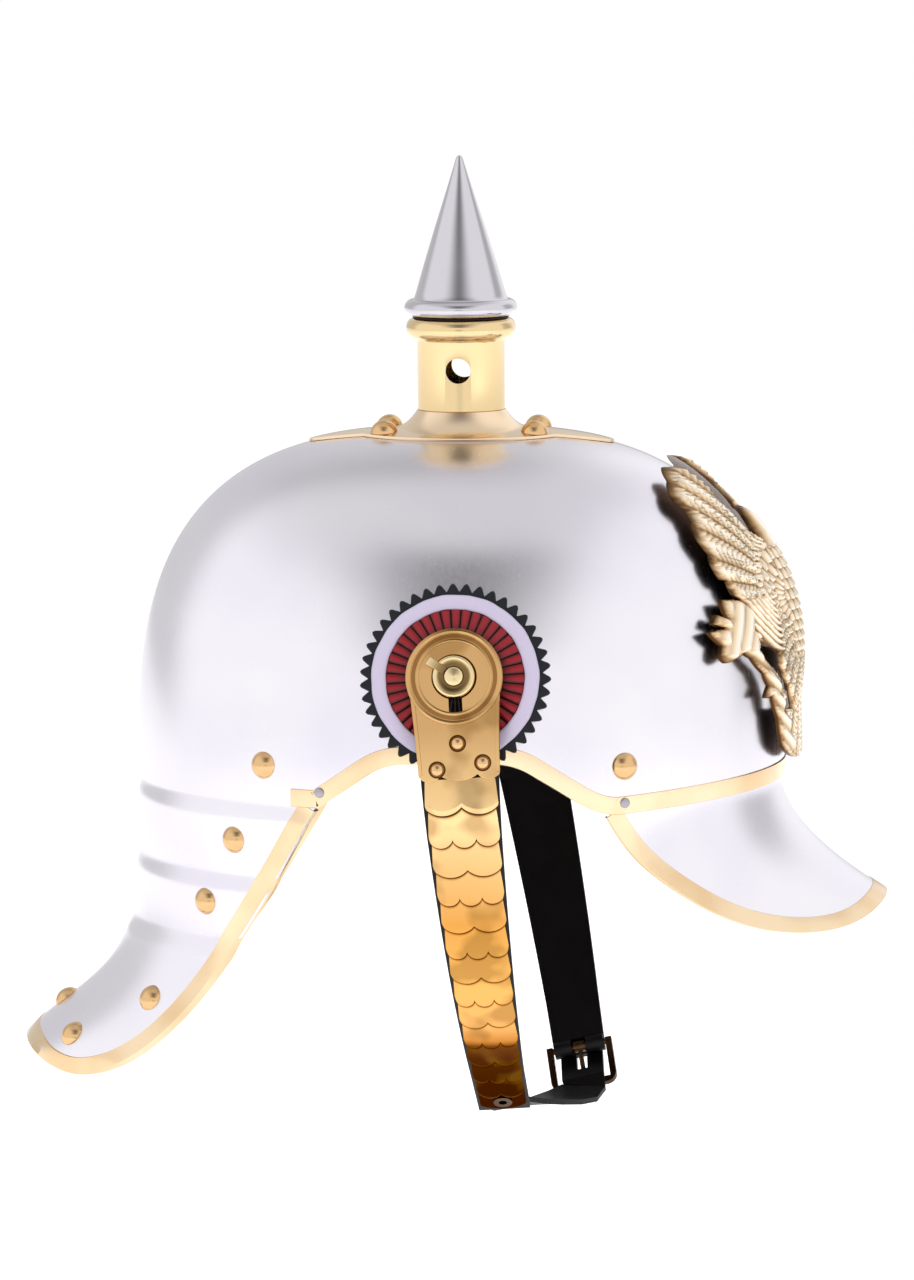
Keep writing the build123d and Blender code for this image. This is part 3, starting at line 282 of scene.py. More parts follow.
MATERIALS = {
    "polished_steel": sheet_steel(),
    "turned_steel": turned_steel(),
    "steel_pin": new_material("plain_steel", 0xA9A6AD, 1.0, 0.3)[0],
    "dark_washer": leather("washer_leather", 0x1A1412, 0.6, 0x2A2019),
    "brass_edge": brass("edge_brass", 0xEFD7B4, 0.24, 0.06, 0xE2C298),
    "brass_rivet": brass("rivet_brass", 0xDDB684, 0.18),
    "brass_base": brass("base_brass", 0xEFD6B6, 0.2),
    "brass_neck": brass("neck_brass", 0xE6CC9C, 0.14),
    "brass_post": post_brass(),
    "gilt_brass": gilt_brass(),
    "scale_brass": scale_brass(),
    "bronze_buckle": brass("buckle_bronze", 0x6A5138, 0.32, 0.1, 0x3A2A1C),
    "black_lacquer": enamel("black_enamel", 0x12151B, 0.5),
    "white_lacquer": enamel("white_enamel", 0xD2C8E0, 0.35),
    "crimson_lacquer": pleat_enamel(),
    "black_leather": leather("black_leather", 0x040406, 0.45, 0x0A0A0D),
    "brown_leather": leather("brown_leather", 0x6B4529, 0.6, 0x7F5636),
    "lace_leather": leather("lace_leather", 0x4A3220, 0.6, 0x5B402B),
}
BODIES = frame["record"]["behaviour"]["bodies"]
BODY_OF = {node: body for body, members in BODIES.items() for node in members}
SLOT_OF = {row["node"]: row["material_slot"] for row in frame["record"]["subparts"]}

for name, node in nodes.items():
    node.data.materials.clear()
    node.data.materials.append(MATERIALS[SLOT_OF[name]])

# The eyelet is of the buckle's dark bronze
nodes["end_eyelet"].data.materials[0] = MATERIALS["bronze_buckle"]


# Meshes
def make_object(name, vertices, faces, slot_name, sharp=35.0):
    """A smooth-shaded mesh from points in millimetres, with sharp edges over an angle."""
    mesh = bpy.data.meshes.new(name)
    mesh.from_pydata([tuple(v) for v in np.asarray(vertices, float) * MM], [], faces)
    mesh.validate()
    mesh.polygons.foreach_set("use_smooth", [True] * len(mesh.polygons))
    mesh.set_sharp_from_angle(angle=math.radians(sharp))
    mesh.materials.append(MATERIALS[slot_name])
    piece = bpy.data.objects.new(name, mesh)
    scene.collection.objects.link(piece)
    return piece


def tag(piece, name, values):
    """A value for every point of the piece, for its material to read."""
    piece.data.attributes.new(name, "FLOAT", "POINT").data.foreach_set("value", np.asarray(values, float))


def dress(piece, *stands_for):
    """A piece in place of CAD nodes: attached to the body of the first, with the nodes hidden."""
    first = stands_for[0]
    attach(piece, BODY_OF[first])
    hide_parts(*stands_for)


def grid_faces(rows, columns, wrap, start=0, flip=False):
    faces = []
    for row in range(rows - 1):
        for column in range(columns if wrap else columns - 1):
            after = (column + 1) % columns
            a = start + row * columns + column
            b = start + row * columns + after
            face = (a, b, b + columns, a + columns)
            faces.append(face[::-1] if flip else face)
    return faces


def shell(outer, inner, wrap):
    """Vertices and faces of a closed sheet between two grids of the same shape."""
    rows, columns = outer.shape[:2]
    count = rows * columns
    vertices = np.concatenate([outer.reshape(-1, 3), inner.reshape(-1, 3)])
    faces = grid_faces(rows, columns, wrap) + grid_faces(rows, columns, wrap, count, True)
    for row, flip in ((0, True), (rows - 1, False)):
        for column in range(columns if wrap else columns - 1):
            after = (column + 1) % columns
            a = row * columns + column
            b = row * columns + after
            face = (a, b, b + count, a + count)
            faces.append(face if flip else face[::-1])
    if not wrap:
        for column, flip in ((0, False), (columns - 1, True)):
            for row in range(rows - 1):
                a = row * columns + column
                b = a + columns
                face = (a, b, b + count, a + count)
                faces.append(face if flip else face[::-1])
    return vertices, faces


def lathe(profile, steps=96):
    """Vertices and faces turned about Z from a closed (radius, height) profile."""
    turns = np.linspace(0, 2 * math.pi, steps, endpoint=False)
    rows = len(profile)
    grid = np.zeros((rows, steps, 3))
    for row, (radius, height) in enumerate(profile):
        radius = max(radius, 1e-4)
        grid[row] = np.stack([radius * np.cos(turns), radius * np.sin(turns), np.full(steps, height)], 1)
    return grid.reshape(-1, 3), grid_faces(rows, steps, True, flip=True)


def closed_round(grid):
    """Vertices and faces of rows of points round an axis, with the last row joined to the first."""
    rows, steps = grid.shape[:2]
    last = (rows - 1) * steps
    faces = grid_faces(rows, steps, True)
    faces += [(last + c, last + (c + 1) % steps, (c + 1) % steps, c) for c in range(steps)]
    return grid.reshape(-1, 3), faces


def seat_matrix(origin, normal, across=None):
    """A frame on a surface: Z along the normal, X as near as may be to across."""
    z = Vector(normal).normalized()
    x = Vector(across) if across is not None else Vector((0, 0, 1)).cross(z)
    if x.length < 1e-6:
        x = Vector((1, 0, 0))
    x = (x - z * x.dot(z)).normalized()
    y = z.cross(x)
    basis = Matrix((x, y, z)).transposed().to_4x4()
    return Matrix.Translation(Vector(origin) * MM) @ basis


# The helmet's forms, in millimetres, as the solids have them
LENGTH, WIDTH, HEIGHT, GAUGE, GAP = 119.2, 97.0, 126.5, 1.2, 0.15
LENGTH_POWER, WIDTH_POWER = 2.9, 2.2
EDGE_GAUGE, EDGE_WIDTH = 0.5, 6.0
VISOR_DROP, VISOR_REACH, VISOR_NARROWING, VISOR_CURVE, VISOR_GAUGE = 43.5, 37.0, 5.0, 1.9, 1.0
TAIL_DROP, TAIL_SLANT, TAIL_SWEEP, TAIL_NARROWING, TAIL_CURVE = 102.0, 3.8, 41.0, 10.0, 7
# The lames' seams, at the back and how they fall to the front, and the heights where the plates' tops stand
UPPER_SEAM, LOWER_SEAM, SEAM_SLOPE = 17.0, 43.0, 0.18
SHEET_TOP, LOWER_TOP, GUARD_TOP = 8.0, -9.5, -34.0
# Each plate comes out from under the one above over a height that starts at a depth
LAP, LOWER_LAP, GUARD_LAP, EDGE_LAP = 7.0, 27.0, 51.5, 1.0


def skull_axes(z, grow=0.0):
    share = np.minimum(np.abs(z) / (HEIGHT + grow), 1)
    length = (LENGTH + grow) * (1 - share**LENGTH_POWER) ** (1 / LENGTH_POWER)
    width = (WIDTH + grow) * (1 - share**WIDTH_POWER) ** (1 / WIDTH_POWER)
    return length, width


def visor_axes(z, grow=0.0):
    length, width = skull_axes(np.maximum(z, 0), grow - GAUGE - GAP)
    share = np.maximum(-z, 0) / VISOR_DROP
    return length + VISOR_REACH * share**VISOR_CURVE, width - VISOR_NARROWING * share


def tail_axes(z, grow=0.0):
    length, width = skull_axes(np.maximum(z, 0), grow)
    share = np.maximum(-z, 0) / TAIL_DROP
    full = np.minimum(share, 1)
    sweep = full**TAIL_CURVE * (1 + TAIL_CURVE * (1 - full))
    return length + TAIL_SLANT * share + TAIL_SWEEP * sweep, width - TAIL_NARROWING * share


def tucked(z, depth):
    """How far a plate is tucked in under the one above: its gauge and gap, down to nothing past the lap."""
    share = np.clip((-z - depth) / LAP, 0, 1)
    return (GAUGE + GAP) * (1 - share * share * (3 - 2 * share))


def upper_axes(z, grow=0.0):
    return tail_axes(z, grow - tucked(z, 0.0))


def lower_axes(z, grow=0.0):
    return tail_axes(z, grow - tucked(z, LOWER_LAP))


def guard_axes(z, grow=0.0):
    return tail_axes(z, grow - tucked(z, GUARD_LAP))


def master_axes(z, grow=0.0):
    """The tail's outer face with the lames' laps smoothed over, for the edge that runs past them all."""
    length, width = tail_axes(z, grow)
    inwards = tucked(z, EDGE_LAP)
    return length - inwards, width - inwards


def on(axes, turn, z, grow=0.0):
    length, width = axes(z, grow)
    return np.array([length * math.cos(turn), width * math.sin(turn), z])


def pressed(axes, point, grow):
    """A point moved sideways on to the form grown by a gauge."""
    length, width = axes(point[2], grow)
    turn = math.atan2(point[1] / width, point[0] / length)
    return np.array([length * math.cos(turn), width * math.sin(turn), point[2]])


def surface_normal(axes, point, grow=0.0):
    step = 0.2
    x, y, z = point
    length, width = axes(z, grow)
    higher, lower = axes(z + step, grow), axes(z - step, grow)
    lengthening, widening = (higher[0] - lower[0]) / (2 * step), (higher[1] - lower[1]) / (2 * step)
    rise = -(x**2 / length**3 * lengthening + y**2 / width**3 * widening)
    normal = np.array([x / length**2, y / width**2, rise])
    return normal / np.linalg.norm(normal)


def wall_seat(axes, x, z, side, grow=0.0):
    length, width = axes(z, grow)
    y = side * width * math.sqrt(max(1 - (x / length) ** 2, 0))
    point = np.array([x, y, z])
    return point, surface_normal(axes, point, grow)


# The ear arch: a slope up from each foot, a round and a flat top. The dip before the brow has a round too.
ARCH_HEIGHT, ARCH_ROUND = 16.5, 24.0
ARCH_REAR, ARCH_REAR_RUN, ARCH_FRONT, ARCH_FRONT_RUN = -44.0, 24.0, 51.0, 25.0
DIP, DIP_DEPTH, DIP_ROUND = 56.5, 3.5, 7.0
DIP_FALL = ARCH_HEIGHT / ARCH_FRONT_RUN / DIP_DEPTH
DIP_BEND = (DIP_DEPTH / (LENGTH - DIP) + DIP_DEPTH * DIP_FALL) / (4 * DIP_ROUND)


def arch_height(distance, run):
    """The arch's height at a distance in from its foot; its slope alone would reach the top after a run."""
    lean = math.atan2(ARCH_HEIGHT, run)
    tangent = ARCH_ROUND * math.tan(lean / 2)
    if distance <= run - tangent * math.cos(lean):
        return ARCH_HEIGHT * distance / run
    short = max(run + tangent - distance, 0)
    return ARCH_HEIGHT - ARCH_ROUND + math.sqrt(ARCH_ROUND**2 - short**2)


def rim_height(x):
    """The skull's lower rim in the side view: flat behind, the ear arch, the dip and the brow."""
    if x <= ARCH_REAR:
        return 0.0
    if x <= 0:
        return arch_height(x - ARCH_REAR, ARCH_REAR_RUN)
    if x <= DIP - DIP_ROUND:
        return arch_height(ARCH_FRONT - x, ARCH_FRONT_RUN)
    if x <= DIP + DIP_ROUND:
        run = x - DIP + DIP_ROUND
        return DIP_DEPTH * (DIP_ROUND * DIP_FALL - 1) - DIP_DEPTH * DIP_FALL * run + DIP_BEND * run**2
    return -DIP_DEPTH * (LENGTH - x) / (LENGTH - DIP)


def natural_curve(points):
    """A curve through points: a function of its run from 0 to 1."""
    points = np.array(points, float)
    run = np.concatenate([[0], np.cumsum(np.linalg.norm(np.diff(points, axis=0), axis=1))])
    run = run / run[-1]
    count = len(points)
    gaps = np.diff(run)
    matrix = np.eye(count)
    right = np.zeros((count, 2))
    for i in range(1, count - 1):
        matrix[i, i - 1 : i + 2] = (gaps[i - 1], 2 * (gaps[i - 1] + gaps[i]), gaps[i])
        right[i] = 6 * (
            (points[i + 1] - points[i]) / gaps[i] - (points[i] - points[i - 1]) / gaps[i - 1]
        )
    bends = np.linalg.solve(matrix, right)

    def at(share):
        i = int(np.clip(np.searchsorted(run, share) - 1, 0, count - 2))
        gap = gaps[i]
        a = (run[i + 1] - share) / gap
        b = 1 - a
        curve = a * points[i] + b * points[i + 1]
        return curve + ((a**3 - a) * bends[i] + (b**3 - b) * bends[i + 1]) * gap**2 / 6

    return at


def edge_table(shares, foot, reach, depth, direction):
    """The side-view lower edge as increasing places along X and their heights."""
    at = natural_curve([(foot + x * (reach - foot), -z * depth) for x, z in shares])
    table = np.array([at(s) for s in np.linspace(0, 1, 240)])
    return lambda x: float(np.interp(direction * x, table[:, 0], table[:, 1]))


visor_rim = edge_table(
    [(0, 0.06), (0.087, 0.34), (0.266, 0.66), (0.5, 0.91), (0.736, 1.0), (0.933, 0.954), (1.06, 0.83)],
    57.5, 155.5, 50.0, 1,
)
tail_rim = edge_table(
    [
        (0, 0), (0.073, 0.148), (0.231, 0.443), (0.386, 0.688), (0.539, 0.863),
        (0.69, 0.97), (0.78, 1.0), (0.927, 0.969), (1.045, 0.885),
    ],
    45.0, 163.5, 105.5, -1,
)


def lowest(axes, turn, floor):
    """The height at which a column of the form meets its lower edge."""
    low, high = -125.0, 0.0
    for _ in range(40):
        z = (low + high) / 2
        if z > floor(on(axes, turn, z)[0]):
            high = z
        else:
            low = z
    return high


def hung_sheet(axes, floor, top, start, end, columns, rows, gauge):
    """A closed sheet hung from top down to its lower edge, between two turns, finer near both ends."""
    shares = np.linspace(-1, 1, columns)
    shares = np.sign(shares) * (1 - (1 - np.abs(shares)) ** 1.35)
    turns = (start + end) / 2 + shares * (end - start) / 2
    outer = np.zeros((rows, columns, 3))
    inner = np.zeros((rows, columns, 3))
    for column, turn in enumerate(turns):
        low = lowest(axes, turn, floor)
        for row, share in enumerate(np.linspace(0, 1, rows)):
            z = top + (min(low, top - 0.01) - top) * share
            outer[row, column] = on(axes, turn, z)
            inner[row, column] = on(axes, turn, z, -gauge)
    return shell(outer[::-1], inner[::-1], False)


# The rows stop a little short of the crown, under the spike's base, and are spread evenly over the dome
CROWN_SHARE, ROW_SPREAD = 0.985, 0.82


def skull_mesh():
    columns = 480
    rows = 100
    outer = np.zeros((rows, columns, 3))
    inner = np.zeros((rows, columns, 3))
    for column in range(columns):
        turn = 2 * math.pi * column / columns
        low = 0.0
        for _ in range(8):
            low = rim_height(on(skull_axes, turn, low)[0])
        foot = math.asin(max(min(low / HEIGHT, 1), -1))
        for row in range(rows):
            angle = foot + (math.pi / 2 * CROWN_SHARE - foot) * row / (rows - 1)
            height = math.copysign(abs(math.sin(angle)) ** ROW_SPREAD, angle)
            height = height if row else low / HEIGHT
            outer[row, column] = on(skull_axes, turn, height * HEIGHT)
            inner[row, column] = on(skull_axes, turn, height * (HEIGHT - GAUGE), -GAUGE)
    for row in range(3):
        inner[row, :, 2] = outer[row, :, 2]
    return shell(outer, inner, True)


dress(make_object("skull_smooth", *skull_mesh(), "polished_steel"), "skull")
VISOR_CORNER = 57.6
visor_start = math.acos(VISOR_CORNER / visor_axes(-3.0)[0])
visor_sheet = hung_sheet(visor_axes, visor_rim, SHEET_TOP, -visor_start, visor_start, 220, 60, VISOR_GAUGE)
dress(make_object("visor_smooth", *visor_sheet, "polished_steel"), "visor")


def seam(depth):
    return lambda x: max(tail_rim(x), -depth - SEAM_SLOPE * (x + LENGTH) if x < 0 else 0.0)


def turn_place(z):
    """How far behind the middle the tail's lower edge stands at a height."""
    places = np.linspace(45.0, 150.0, 1500)
    heights = np.array([tail_rim(-p) for p in places])
    below = np.nonzero(heights <= z)[0]
    return places[below[0]] if len(below) else places[0]


def tail_sheet(node, axes, floor, top, rows):
    """One plate of the tail, from its top down, whose front corners lie just under its top or the rim."""
    corner = min(top - 0.1, -0.05)
    start = math.acos(-turn_place(corner) / axes(corner)[0])
    sheet = hung_sheet(axes, floor, top, start, 2 * math.pi - start, 300, rows, GAUGE)
    dress(make_object(f"{node}_smooth", *sheet, "polished_steel"), node)


tail_sheet("lame_upper", upper_axes, seam(UPPER_SEAM), SHEET_TOP, 40)
tail_sheet("lame_lower", lower_axes, seam(LOWER_SEAM), LOWER_TOP, 50)
tail_sheet("neck_guard", guard_axes, tail_rim, GUARD_TOP, 90)


# Brass edges folded round the rims
def folded(border, axes, section):
    """A strip folded round a border: the section is (distance in from the border, growth) pairs."""
    border = [np.array(p, float) for p in border]
    grid = np.zeros((len(section), len(border), 3))
    for column, point in enumerate(border):
        before = border[max(column - 1, 0)]
        after = border[min(column + 1, len(border) - 1)]
        along = (after - before) / np.linalg.norm(after - before)
        normal = surface_normal(axes, point)
        inward = np.cross(normal, along)
        inward = inward / np.linalg.norm(inward)
        if inward[2] < 0:
            inward = -inward
        for row, (distance, grow) in enumerate(section):
            grid[row, column] = pressed(axes, point + inward * distance, grow)
    return grid


def strip_object(name, grid, slot_name):
    """A closed tube of sections along a border, capped at both ends."""
    rows, columns = grid.shape[:2]
    faces = grid_faces(rows, columns, False)
    last = (rows - 1) * columns
    faces += [(last + c, last + c + 1, c + 1, c) for c in range(columns - 1)]
    faces.append(tuple(r * columns for r in range(rows)))
    faces.append(tuple(r * columns + columns - 1 for r in reversed(range(rows))))
    return make_object(name, grid.reshape(-1, 3), faces, slot_name)


def fold_section(inside):
    g, w = EDGE_GAUGE, EDGE_WIDTH
    return [
        (w, 0.0), (w, g * 0.5), (w - 0.2, g), (g * 0.4, g), (-g * 0.4, g * 0.75), (-g * 0.9, 0.0),
        (-g * 0.9, -inside), (-g * 0.4, -inside - g * 0.75), (g * 0.4, -inside - g), (w, -inside - g),
    ]


def tail_axes_at(point):
    x, z = point[0], point[2]
    line = -SEAM_SLOPE * (x + LENGTH)
    if z > -UPPER_SEAM + line:
        return upper_axes
    if z > -LOWER_SEAM + line:
        return lower_axes
    return guard_axes


TAIL_CORNER = 46.0


def tail_border():
    start = math.acos(-TAIL_CORNER / upper_axes(-1.0)[0])
    turns = np.linspace(0, 1, 130) ** 1.5
    turns = start + (math.pi - start) * turns
    half = []
    for turn in turns:
        z = lowest(guard_axes, turn, tail_rim)
        point = on(tail_axes, turn, z)
        point = pressed(tail_axes_at(point), point, 0.0)
        half.append(point)
    return half + [p * np.array([1, -1, 1]) for p in reversed(half[:-1])]


edge_inside = 2 * GAUGE + GAP
tail_fold = folded(tail_border(), master_axes, fold_section(edge_inside))
dress(strip_object("neck_guard_edge_smooth", tail_fold, "brass_edge"), "neck_guard_edge")


VISOR_EDGE_CORNER = 58.3


def visor_border():
    start = math.acos(VISOR_EDGE_CORNER / visor_axes(-4.5)[0])
    turns = start * (1 - np.linspace(0, 1, 110) ** 1.4)
    half = [on(visor_axes, turn, lowest(visor_axes, turn, visor_rim)) for turn in turns]
    return half + [p * np.array([1, -1, 1]) for p in reversed(half[:-1])]


visor_fold = folded(visor_border(), visor_axes, fold_section(VISOR_GAUGE))
dress(strip_object("visor_edge_smooth", visor_fold, "brass_edge"), "visor_edge")


EAR_EDGE_REAR, EAR_EDGE_FRONT = -54.0, 61.0


def rim_border(rear, front, side, count):
    points = []
    for x in np.linspace(rear, front, count):
        z = rim_height(x)
        length, width = skull_axes(z)
        points.append((x, side * width * math.sqrt(max(1 - (x / length) ** 2, 0)), z))
    return points


for side, word in ((-1, "right"), (1, "left")):
    grid = folded(rim_border(EAR_EDGE_REAR, EAR_EDGE_FRONT, side, 240), skull_axes, fold_section(0.0))
    dress(strip_object(f"ear_edge_{word}_smooth", grid, "brass_edge"), f"ear_edge_{word}")


def brow_border():
    length = skull_axes(0.0)[0]
    start = math.acos(EAR_EDGE_FRONT / length)
    points = []
    for turn in np.linspace(-start, start, 220):
        z = 0.0
        for _ in range(6):
            z = rim_height(on(skull_axes, turn, z)[0])
        points.append(on(skull_axes, turn, z))
    return points


brow_fold = folded(brow_border(), skull_axes, fold_section(0.0))
dress(strip_object("brow_band_smooth", brow_fold, "brass_edge"), "brow_band")


# Turned and riveted pieces
def cap_profile(radius, height, grip, shank, steps=10):
    """A domed head on a shank, from the crown down to the end of the grip."""
    ball = (radius**2 + height**2) / (2 * height)
    half = math.asin(min(radius / ball, 1))
    turns = [half * s / steps for s in range(steps + 1)]
    points = [(ball * math.sin(turn), height - ball + ball * math.cos(turn)) for turn in turns]
    return points + [(radius - 0.2, -0.2), (shank, -0.2), (shank, -grip), (0, -grip)]


def stacked(parts):
    """Several meshes as one list of points and faces."""
    vertices, faces, count = [], [], 0
    for part_vertices, part_faces in parts:
        vertices.append(part_vertices)
        faces += [tuple(i + count for i in face) for face in part_faces]
        count += len(part_vertices)
    return np.concatenate(vertices), faces


def moved(stuff, matrix):
    """Points in millimetres through a matrix in metres."""
    vertices, faces = stuff
    full = np.array(matrix)
    return vertices @ full[:3, :3].T + full[:3, 3] / MM, faces


def mirrored(stuff):
    vertices, faces = stuff
    return vertices * np.array([1, -1, 1]), [face[::-1] for face in faces]


def at_seats(stuff, seats):
    return stacked([moved(stuff, seat_matrix(point, normal)) for point, normal in seats])


def both(places, axes):
    return [wall_seat(axes, x, z, side) for x, z in places for side in (-1, 1)]


dome_rivet = lathe(cap_profile(radius=4.9, height=3.1, grip=2.5, shank=1.7), 40)
guard_tip = wall_seat(guard_axes, -guard_axes(-86.0)[0], -86.0, 1)
rivet_sets = {
    "skull_rivets": both([(-64.5, 13.6), (64.5, 13.6)], skull_axes),
    "lame_rivets": both([(-76.4, -14.6)], upper_axes) + both([(-88.0, -38.6)], lower_axes),
    "neck_guard_rivets": both([(-110.0, -76.1), (-141.0, -92.3)], guard_axes) + [guard_tip],
}
for name, seats in rivet_sets.items():
    dress(make_object(name + "_domed", *at_seats(dome_rivet, seats), SLOT_OF[name], 50), name)

pin_profile = [(0, 0.55), (1.2, 0.55), (1.7, 0.4), (1.9, 0.1), (1.9, -0.1), (0.95, -0.1), (0.95, -1.7)]
pin_profile += [(0, -1.7)]
pin_places = ((-43.5, 5.2), (64.5, 0.6))
pin_seats = [wall_seat(skull_axes, x, z, side, EDGE_GAUGE) for x, z in pin_places for side in (-1, 1)]
pins = at_seats(lathe(pin_profile, 32), pin_seats)
dress(make_object("ear_pins_turned", *pins, "steel_pin", 50), "ear_pins")


def dome_height(x, y, grow):
    """Height of the dome's form over (x, y)."""
    low = np.zeros_like(x)
    high = np.full_like(x, HEIGHT + grow)
    for _ in range(40):
        z = (low + high) / 2
        length, width = skull_axes(z, grow)
        inside = (x / np.maximum(length, 1e-6)) ** 2 + (y / np.maximum(width, 1e-6)) ** 2 < 1
        low = np.where(inside, z, low)
        high = np.where(inside, high, z)
    return low


SPIKE_X, COLLAR_TOP, COLLAR_RADIUS = 1.2, 133.5, 16.2
# The cross is two ovals laid over each other, as half lengths and half widths
LONG_OVAL, CROSS_OVAL = (56.0, 15.0), (40.0, 24.5)
PLATE_GAP, PLATE_GAUGE, BELL_REACH = 0.15, 1.0, 8.0
on_spike_axis = Matrix.Translation((SPIKE_X * MM, 0, 0))


def base_plate_mesh():
    steps = 288
    turns = np.linspace(0, 2 * math.pi, steps, endpoint=False)
    cosine, sine = np.cos(turns), np.sin(turns)
    ovals = [1 / np.hypot(cosine / long, sine / wide) for long, wide in (LONG_OVAL, CROSS_OVAL)]
    reach = np.maximum(*ovals)
    rows = []
    for share in np.linspace(0, 1, 40):
        radius = COLLAR_RADIUS + (reach - COLLAR_RADIUS) * share**1.2
        x, y = SPIKE_X + radius * cosine, radius * sine
        ground = dome_height(x, y, PLATE_GAP) + PLATE_GAUGE
        bell = np.clip(1 - (radius - COLLAR_RADIUS) / BELL_REACH, 0, 1) ** 2.0
        z = ground + (COLLAR_TOP - ground) * bell
        rows.append(np.stack([x, y, z], 1))
    for inset, drop in ((0.0, 0.35), (-0.25, 0.7), (-0.1, 1.0)):
        radius = reach - inset
        x, y = SPIKE_X + radius * cosine, radius * sine
        rows.append(np.stack([x, y, dome_height(x, y, PLATE_GAP) + PLATE_GAUGE - drop], 1))
    for radius, height in ((15.25, 118.0), (15.25, COLLAR_TOP - 0.3), (15.6, COLLAR_TOP)):
        rows.append(np.stack([SPIKE_X + radius * cosine, radius * sine, np.full(steps, height)], 1))
    grid = np.array(rows)
    faces = grid_faces(len(rows), steps, True, flip=True)
    last = (len(rows) - 1) * steps
    faces += [(last + (c + 1) % steps, last + c, c, (c + 1) % steps)[::-1] for c in range(steps)]
    return grid.reshape(-1, 3), faces


dress(make_object("spike_base_plate_spun", *base_plate_mesh(), "brass_base", 40), "spike_base_plate")


def dome_seat(x, y, grow):
    z = float(dome_height(np.array([x]), np.array([y]), grow)[0])
    return wall_seat(skull_axes, x, z, 1 if y > 0 else -1, grow)


BOLT_ALONG, BOLT_ACROSS = 27.5, 11.6
bolt_places = [(SPIKE_X + x * BOLT_ALONG, y * BOLT_ACROSS) for x in (-1, 1) for y in (-1, 1)]
bolt_seats = [dome_seat(x, y, PLATE_GAP + PLATE_GAUGE) for x, y in bolt_places]
base_bolt = lathe(cap_profile(radius=5.0, height=4.2, grip=5.8, shank=2.0), 48)
bolts = at_seats(base_bolt, bolt_seats)
dress(make_object("base_bolts_domed", *bolts, SLOT_OF["base_bolts"], 50), "base_bolts")


def ring_points(radius, steps, centre=(0.0, 0.0)):
    turns = np.linspace(0, 2 * math.pi, steps, endpoint=False)
    return [(centre[0] + radius * math.cos(t), centre[1] + radius * math.sin(t)) for t in turns]


def arc_bead(foot_radius, radius, top_radius, foot, top, steps=18):
    points = []
    for step in range(steps + 1):
        turn = math.pi * step / steps
        flat = foot_radius + (top_radius - foot_radius) * step / steps
        out = flat + (radius - max(foot_radius, top_radius)) * math.sin(turn)
        points.append((out, foot + (top - foot) * (1 - math.cos(turn)) / 2))
    return points


NECK_FOOT, NECK_TOP, STUD_BORE = 129.5, 167.0, 4.0
neck_profile = [(STUD_BORE, NECK_TOP), (STUD_BORE, 163.0), (14.5, 163.0), (14.5, NECK_FOOT)]
neck_profile += [(15.2, NECK_FOOT), (15.2, COLLAR_TOP)]
neck_profile += [(15.7, COLLAR_TOP), (16.0, COLLAR_TOP + 0.4), (16.0, 158.6), (16.3, 159.3)]
neck_profile += arc_bead(16.6, 20.3, 17.3, 159.6, NECK_TOP)
neck_walls = lathe(neck_profile[::-1] + [neck_profile[-1]], 144)
neck = make_object("spike_neck_turned", *neck_walls, "brass_neck", 30)
VENT_RADIUS, VENT_HEIGHT, VENT_STEPS = 4.6, 148.6, 64
vent_ring = ring_points(VENT_RADIUS, VENT_STEPS)
vent_points = [(x, y, z) for z in (-30.0, 30.0) for x, y in vent_ring]
vent_faces = [tuple(reversed(range(VENT_STEPS))), tuple(range(VENT_STEPS, 2 * VENT_STEPS))]
for i in range(VENT_STEPS):
    after = (i + 1) % VENT_STEPS
    vent_faces.append((i, after, after + VENT_STEPS, i + VENT_STEPS))
across_neck = Matrix.Translation((0, 0, VENT_HEIGHT * MM)) @ Matrix.Rotation(math.pi / 2, 4, "X")
vent = make_object("vent_cutter", *moved((np.array(vent_points), vent_faces), across_neck), "brass_neck")
cut = neck.modifiers.new("vents", "BOOLEAN")
cut.operation = "DIFFERENCE"
cut.object = vent
cut.solver = "EXACT"
bpy.context.view_layer.update()
neck_mesh = bpy.data.meshes.new_from_object(neck.evaluated_get(bpy.context.evaluated_depsgraph_get()))
neck.modifiers.clear()
neck.data = neck_mesh
bpy.data.objects.remove(vent)
neck.data.set_sharp_from_angle(angle=math.radians(30))
neck.data.transform(on_spike_axis)
dress(neck, "spike_neck")

SPIKE_FOOT = NECK_TOP + 0.8
washer_profile = [(STUD_BORE, NECK_TOP), (17.2, NECK_TOP), (17.5, NECK_TOP + 0.2), (17.5, SPIKE_FOOT - 0.2)]
washer_profile += [(17.2, SPIKE_FOOT), (STUD_BORE, SPIKE_FOOT), (STUD_BORE, NECK_TOP)]
washer = moved(lathe(washer_profile, 96), on_spike_axis)
dress(make_object("spike_washer_cut", *washer, "dark_washer"), "spike_washer")

spike_profile = [(0, SPIKE_FOOT - 10.0), (3.9, SPIKE_FOOT - 10.0), (3.92, SPIKE_FOOT)]
spike_profile += arc_bead(17.3, 20.6, 17.4, SPIKE_FOOT, 174.0)
spike_profile += [(16.9, 174.6), (16.4, 176.0), (13.2, 187.0), (9.3, 199.7), (5.3, 212.2), (1.9, 223.0)]
spike_profile += [(1.4, 224.8), (1.0, 225.7), (0.5, 226.1), (0, 226.2)]
spike = moved(lathe(spike_profile, 144), on_spike_axis)
dress(make_object("spike_turned", *spike, "turned_steel", 25), "spike")

# Side posts and cockades, in the seat of the right post
POST_PLACE, POST_HEIGHT, PLATE_STAND = 5.5, 46.0, 7.2
post_foot, post_wall = wall_seat(skull_axes, POST_PLACE, POST_HEIGHT, -1)
WALL_LEAN = math.atan2(post_wall[2], -post_wall[1])
post_out = np.array([0, -math.cos(WALL_LEAN), math.sin(WALL_LEAN)])
post_seat = seat_matrix(post_foot, post_out, (1, 0, 0))


def mirror_pair(stuff):
    return stacked([stuff, mirrored(stuff)])


